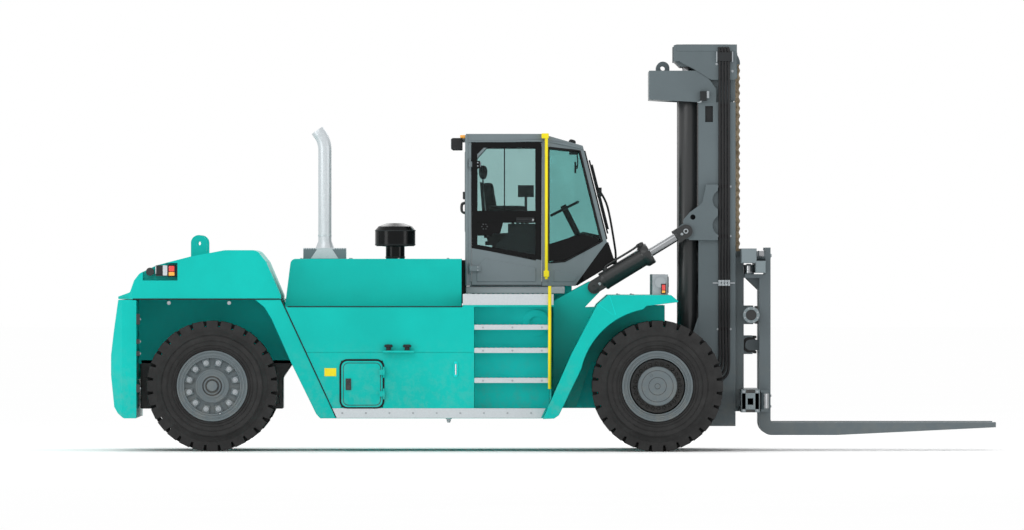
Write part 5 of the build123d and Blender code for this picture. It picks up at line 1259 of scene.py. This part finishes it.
# %% [markdown]
# On the carriage the working faces are bright: the rollers that carry the forks along the rail, and the
# guide pins at the fork heels. The rail ends are closed by caps, and the fork positioners carry gland rings.

# %% Carriage and forks
FORK_Y = (0.506, 0.694)
POSITIONER_X = 2.217
for name, sign in SIDES:
    bright = Piece(f"fork_rollers_{name}", rod_chrome, f"fork_{name}")
    screws = Piece(f"fork_screws_{name}", bolt_zinc, f"fork_{name}")
    for y in FORK_Y:
        bright.rod((2.303, sign * y, 2.2), (2.374, sign * y, 2.2), 0.0568, 28)
        bright.rod((2.206, sign * y, 1.998), (2.206, sign * y, 2.092), 0.0488, 28)
        screws.bolt((2.440, sign * y, 2.200), "X", 0.018, 0.014)
        screws.bolt((2.206, sign * y, 2.097), "Z", 0.016, 0.010)
    bright.rod((2.3735, sign * 0.806, 0.474), (2.3735, sign * 0.806, 0.650), 0.0428, 28)
    for z in (0.62, 0.50):
        screws.bolt((2.440, sign * 0.60, z), "X", 0.014, 0.012)
    bright.done(0)
    screws.done(0.001)
# The rail end caps share the lighter carriage paint, painted light against the carriage's shade.
caps = Piece("rail_end_caps", lightened_carriage_paint, "carriage")
gaps = Piece("rail_end_slots", black_paint, "carriage")
plugs = Piece("carriage_bolts", bolt_zinc, "carriage")
rail_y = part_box("carriage_frame")[1].y
CAP_Y = (rail_y - 0.004, rail_y + 0.008)
for x, z in (((2.104, 2.154), (0.441, 0.691)), ((2.256, 2.306), (0.441, 0.691)), ((2.106, 2.304), (0.470, 0.655)),
             ((2.110, 2.270), (2.122, 2.273)), ((2.268, 2.372), (2.012, 2.136))):
    caps.pair(x, CAP_Y, z)
for z in ((0.439, 0.470), (0.655, 0.693)):
    gaps.pair((2.154, 2.256), (rail_y - 0.002, rail_y + 0.002), z)
for x in (2.130, 2.280):
    for z in (0.46, 0.67):
        plugs.pair_bolt(x, CAP_Y[1], z, 0.009, 0.008)
for sign in SIGNS:
    near, far = across(sign, *CAP_Y)
    caps.box((2.170, 2.240), (near, far + sign * 0.003), (0.520, 0.600))
for sign, z in ((-1, 1.531), (1, 1.191)):
    caps.hoop([(-0.03, 0.086), (-0.03, 0.094), (0.004, 0.094), (0.010, 0.088), (0.010, 0.060), (0.0, 0.060)],
              (POSITIONER_X, sign, z), (0, sign, 0), 44)
    for angle, x, bolt_z in ring_of(8, 0.078, Vector((POSITIONER_X, 0, z)), math.tau / 16):
        plugs.bolt((x, sign * 1.009, bolt_z), (0, sign, 0), 0.007, 0.008)
    for y in (sign * 0.86, sign * 0.30):
        gaps.hoop([(-0.02, 0.087), (-0.02, 0.094), (0.02, 0.094), (0.02, 0.087)], (POSITIONER_X, y, z),
                  (0, sign, 0), 36)
        for strap in ((z + 0.070, z + 0.100), (z - 0.100, z - 0.070)):
            gaps.box((2.265, 2.300), (y - 0.025, y + 0.025), strap)
caps.done(0.003, "mast_paint")
gaps.done(0.002)
plugs.done(0)

# %% [markdown]
# On the hood the exhaust rises from a cone inside a toothed heat guard, and the air cleaner wears a banded
# bowl. The lamps on the front fenders are grey boxes with a small signal lens let into the side.

# %% Hood and fender fittings
STACK = (-2.588, -0.420)
CLEANER = (-1.793, -0.420)
guard = Piece("exhaust_guard", cab_paint)
cone = Piece("exhaust_cone", step_plate)
for corner, out in zip(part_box("exhaust"), (-1, 1)):
    near, far = sorted((corner.y - out * 0.002, corner.y + out * 0.005))
    guard.box((-2.828, -2.348), (near, far), (2.166, 2.272))
    for x0 in (-2.828, -2.486):
        for k in range(5):
            x = x0 + 0.010 + k * 0.027
            guard.plate([(x, 2.266), (x + 0.018, 2.266), (x + 0.009, 2.288)], near, far)
    cone.plate([(-2.745, 2.166), (-2.432, 2.166), (-2.512, 2.286), (-2.664, 2.286)],
               *sorted((corner.y, corner.y + out * 0.016)))
bowl = Piece("cleaner_bands", cab_plastic)
# Each band: its foot, radius, height and thickness
STACK_BANDS = ((2.290, 0.083, 0.018, 0.012), (2.330, 0.079, 0.018, 0.012), (2.420, 0.078, 0.018, 0.012))
BOWL_BANDS = ((2.306, 0.214, 0.016, 0.02), (2.322, 0.229, 0.010, 0.02), (2.476, 0.230, 0.012, 0.02),
              (2.176, 0.112, 0.014, 0.02))
for piece, place, bands, sides in ((cone, STACK, STACK_BANDS, 40), (bowl, CLEANER, BOWL_BANDS, 48)):
    for z, radius, high, thick in bands:
        piece.hoop([(0, radius - thick), (0, radius), (high, radius), (high, radius - thick)], (*place, z), "Z", sides)
guard.done(0.002)
cone.done(0.002)
bowl.done(0.003)
screws = Piece("hood_screws", bolt_zinc)
for sign in SIGNS:
    for x in (-2.85, -2.30, -1.75, -1.20):
        screws.bolt((x, sign * 0.86, 2.164), "Z", 0.010, 0.010)
    for x in (0.726, 0.883):
        screws.bolt((x, sign * 1.25, 1.757), "Z", 0.013, 0.012)
screws.done(0)
lamp_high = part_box("front_lamps")[1]
for material, z in ((red_lens, (1.812, 1.872)), (amber_lens, (1.780, 1.808))):
    lens = Piece(f"fender_{material.name}", material)
    lens.pair((1.206, 1.244), (lamp_high.y - 0.004, lamp_high.y + 0.006), z)
    lens.done(0.003)
rims = Piece("fender_lamp_trim", cab_plastic)
clear = Piece("fender_lamp_glass", clear_lens)
rims.pair((1.196, 1.252), (lamp_high.y - 0.003, lamp_high.y + 0.003), (1.770, 1.884))
rims.pair((lamp_high.x - 0.004, lamp_high.x + 0.006), (lamp_high.y - 0.11, lamp_high.y - 0.02), (1.780, 1.965))
clear.pair((lamp_high.x + 0.002, lamp_high.x + 0.012), (lamp_high.y - 0.098, lamp_high.y - 0.032), (1.850, 1.950))
rims.done(0.002)
clear.done(0.004)
fender_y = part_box("front_mudguards")[1].y
# Thin strips of the lighter arch paint along the fender's folds: painted highlights where the bends catch the light.
fold_highlights = Piece("fender_fold_highlights", lightened_arch_paint)
for (x0, z0), (x1, z1) in (((0.494, 1.653), (0.651, 1.538)), ((0.618, 1.745), (0.684, 1.537))):
    fold_highlights.pair_plate([(x0, z0), (x0 + 0.006, z0), (x1 + 0.006, z1), (x1, z1)], fender_y - 0.002, fender_y + 0.0012)
fold_highlights.done(0)

# %% [markdown]
# The driver's place: a sprung pedestal under rubber bellows, a moulded seat shell, and five pads. Each pad
# starts as a block a little too small. Cloth pressure swells it while its seams and its underside are held,
# as a foam pad swells between the stitches that hold its cover down.

# %% Seat
def settle(obj):
    """Keep what the modifiers show as the piece's own mesh."""
    shown = obj.evaluated_get(bpy.context.evaluated_depsgraph_get())
    mesh = bpy.data.meshes.new_from_object(shown)
    obj.modifiers.clear()
    obj.data = mesh


def stuffed(name, outline, y0, y1, sewn, reach, finer=False):
    """A pad from a side outline; sewn(point) is true where the cover is held down."""
    began = time.time()
    block = Piece(name, cushion_cloth, None)
    block.plate(outline, y0, y1)
    obj = block.done(0.022)
    even = obj.modifiers.new("even", "REMESH")
    even.mode = "VOXEL"
    even.voxel_size = 0.006
    settle(obj)
    start = [vertex.co.copy() for vertex in obj.data.vertices]
    held = [k for k, point in enumerate(start) if sewn(point)]
    obj.vertex_groups.new(name="held").add(held, 1.0, "REPLACE")
    cloth = obj.modifiers.new("swell", "CLOTH")
    cloth.settings.quality = 4
    cloth.settings.mass = 0.2
    cloth.settings.use_pressure = True
    cloth.settings.uniform_pressure_force = 4
    cloth.settings.effector_weights.gravity = 0
    cloth.settings.vertex_group_mass = "held"
    cloth.collision_settings.use_collision = False
    for number in range(1, 21):
        bpy.context.scene.frame_set(number)
    settle(obj)
    bpy.context.scene.frame_set(1)
    for vertex, point in zip(obj.data.vertices, start):
        moved = vertex.co - point
        if moved.length > reach:
            vertex.co = point + moved.normalized() * reach
    obj.data.polygons.foreach_set("use_smooth", [True] * len(obj.data.polygons))
    smooth = obj.modifiers.new("smooth", "SMOOTH")
    smooth.factor = 0.5
    smooth.iterations = 3
    if finer:
        obj.modifiers.new("finer", "SUBSURF").levels = 1
        obj.modifiers["finer"].render_levels = 1
    settle(obj)
    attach(obj, "chassis")
    print(name, "faces", len(obj.data.polygons), "in", round(time.time() - began, 1), "s")
    return obj


def channel(value, lines, half=0.005):
    return any(abs(value - line) < half for line in lines)


CUSHION = [(-0.755, 2.345), (-0.300, 2.345), (-0.288, 2.420), (-0.310, 2.462), (-0.755, 2.448)]
BACK = [(-0.748, 2.455), (-0.632, 2.455), (-0.622, 2.60), (-0.694, 3.022), (-0.802, 3.022)]
HEADREST = [(-0.838, 3.068), (-0.772, 3.062), (-0.752, 3.15), (-0.774, 3.222), (-0.836, 3.226)]
ARMREST = [(-0.730, 2.722), (-0.330, 2.722), (-0.318, 2.745), (-0.336, 2.762), (-0.730, 2.762)]


def cushion_sewn(p):
    return p.z < 2.362 or channel(abs(p.y), (0.130,)) or channel(p.x, (-0.62, -0.47))


def back_sewn(p):
    return channel(abs(p.y), (0.125,)) or channel(p.z, (2.62, 2.76, 2.90))


cushion = stuffed("seat_cushion", CUSHION, -0.238, 0.238, cushion_sewn, 0.022)
stuffed("seat_back", BACK, -0.225, 0.225, back_sewn, 0.022)
stuffed("seat_headrest", HEADREST, -0.135, 0.135, lambda p: p.z < 3.072, 0.014, True)
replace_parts(cushion, "seat")
for name, sign in SIDES:
    stuffed(f"seat_armrest_{name}", ARMREST, *across(sign, 0.256, 0.314), lambda p: p.z < 2.728, 0.010, True)
shell = Piece("seat_shell", cab_plastic)
shell.plate([(-0.778, 2.318), (-0.284, 2.318), (-0.276, 2.352), (-0.778, 2.362)], -0.248, 0.248)
shell.plate([(-0.790, 2.400), (-0.748, 2.400), (-0.806, 3.030), (-0.838, 3.030)], -0.215, 0.215)
shell.pair((-0.735, -0.330), (0.262, 0.308), (2.706, 2.724))
for sign in SIGNS:
    shell.rod((-0.800, sign * 0.065, 3.000), (-0.806, sign * 0.065, 3.090), 0.008, 12)
    shell.pipe([(-0.740, sign * 0.215, 2.66), (-0.745, sign * 0.285, 2.68), (-0.700, sign * 0.285, 2.712)], 0.018, 12)
for x, z in (((-0.72, -0.40), (1.905, 1.960)), ((-0.70, -0.42), (2.270, 2.322))):
    shell.box(x, (-0.180, 0.180), z)
shell.done(0.010, "cab_plastic")
bellows = Piece("seat_bellows", seal_rubber)
rings = []
for k in range(17):
    out = 0.016 if k % 2 else -0.008
    z = 1.955 + k * 0.0198
    rings.append([(-0.695 - out, -0.165 - out, z), (-0.425 + out, -0.165 - out, z), (-0.425 + out, 0.165 + out, z),
                  (-0.695 - out, 0.165 + out, z)])
bellows.skin(rings)
bellows.done(0.004)
console = Piece("cab_side_console", cab_plastic)
console.plate([(-0.700, 1.925), (-0.190, 1.925), (-0.190, 2.330), (-0.300, 2.450), (-0.520, 2.450),
               (-0.660, 2.330)], -0.690, -0.395)
console.plate([(-0.060, 1.925), (0.160, 1.925), (0.160, 2.380), (0.040, 2.330)], -0.520, 0.520)
for k in range(4):
    foot = Vector((-0.48 + k * 0.055, -0.55, 2.448))
    console.pipe([foot, foot + Vector((0.004, 0, 0.05)), foot + Vector((0.014, 0, 0.095))], 0.006, 8)
    console.turned([(0, 0.006), (0.010, 0.017), (0.030, 0.017), (0.040, 0.008)], foot + Vector((0.014, 0, 0.090)),
                   "Z", 14)
for y in (-0.16, 0.0, 0.16):
    console.plate([(0.13, 1.935), (0.22, 2.05), (0.24, 2.04), (0.16, 1.925)], y - 0.05, y + 0.05)
console.done(0.006)
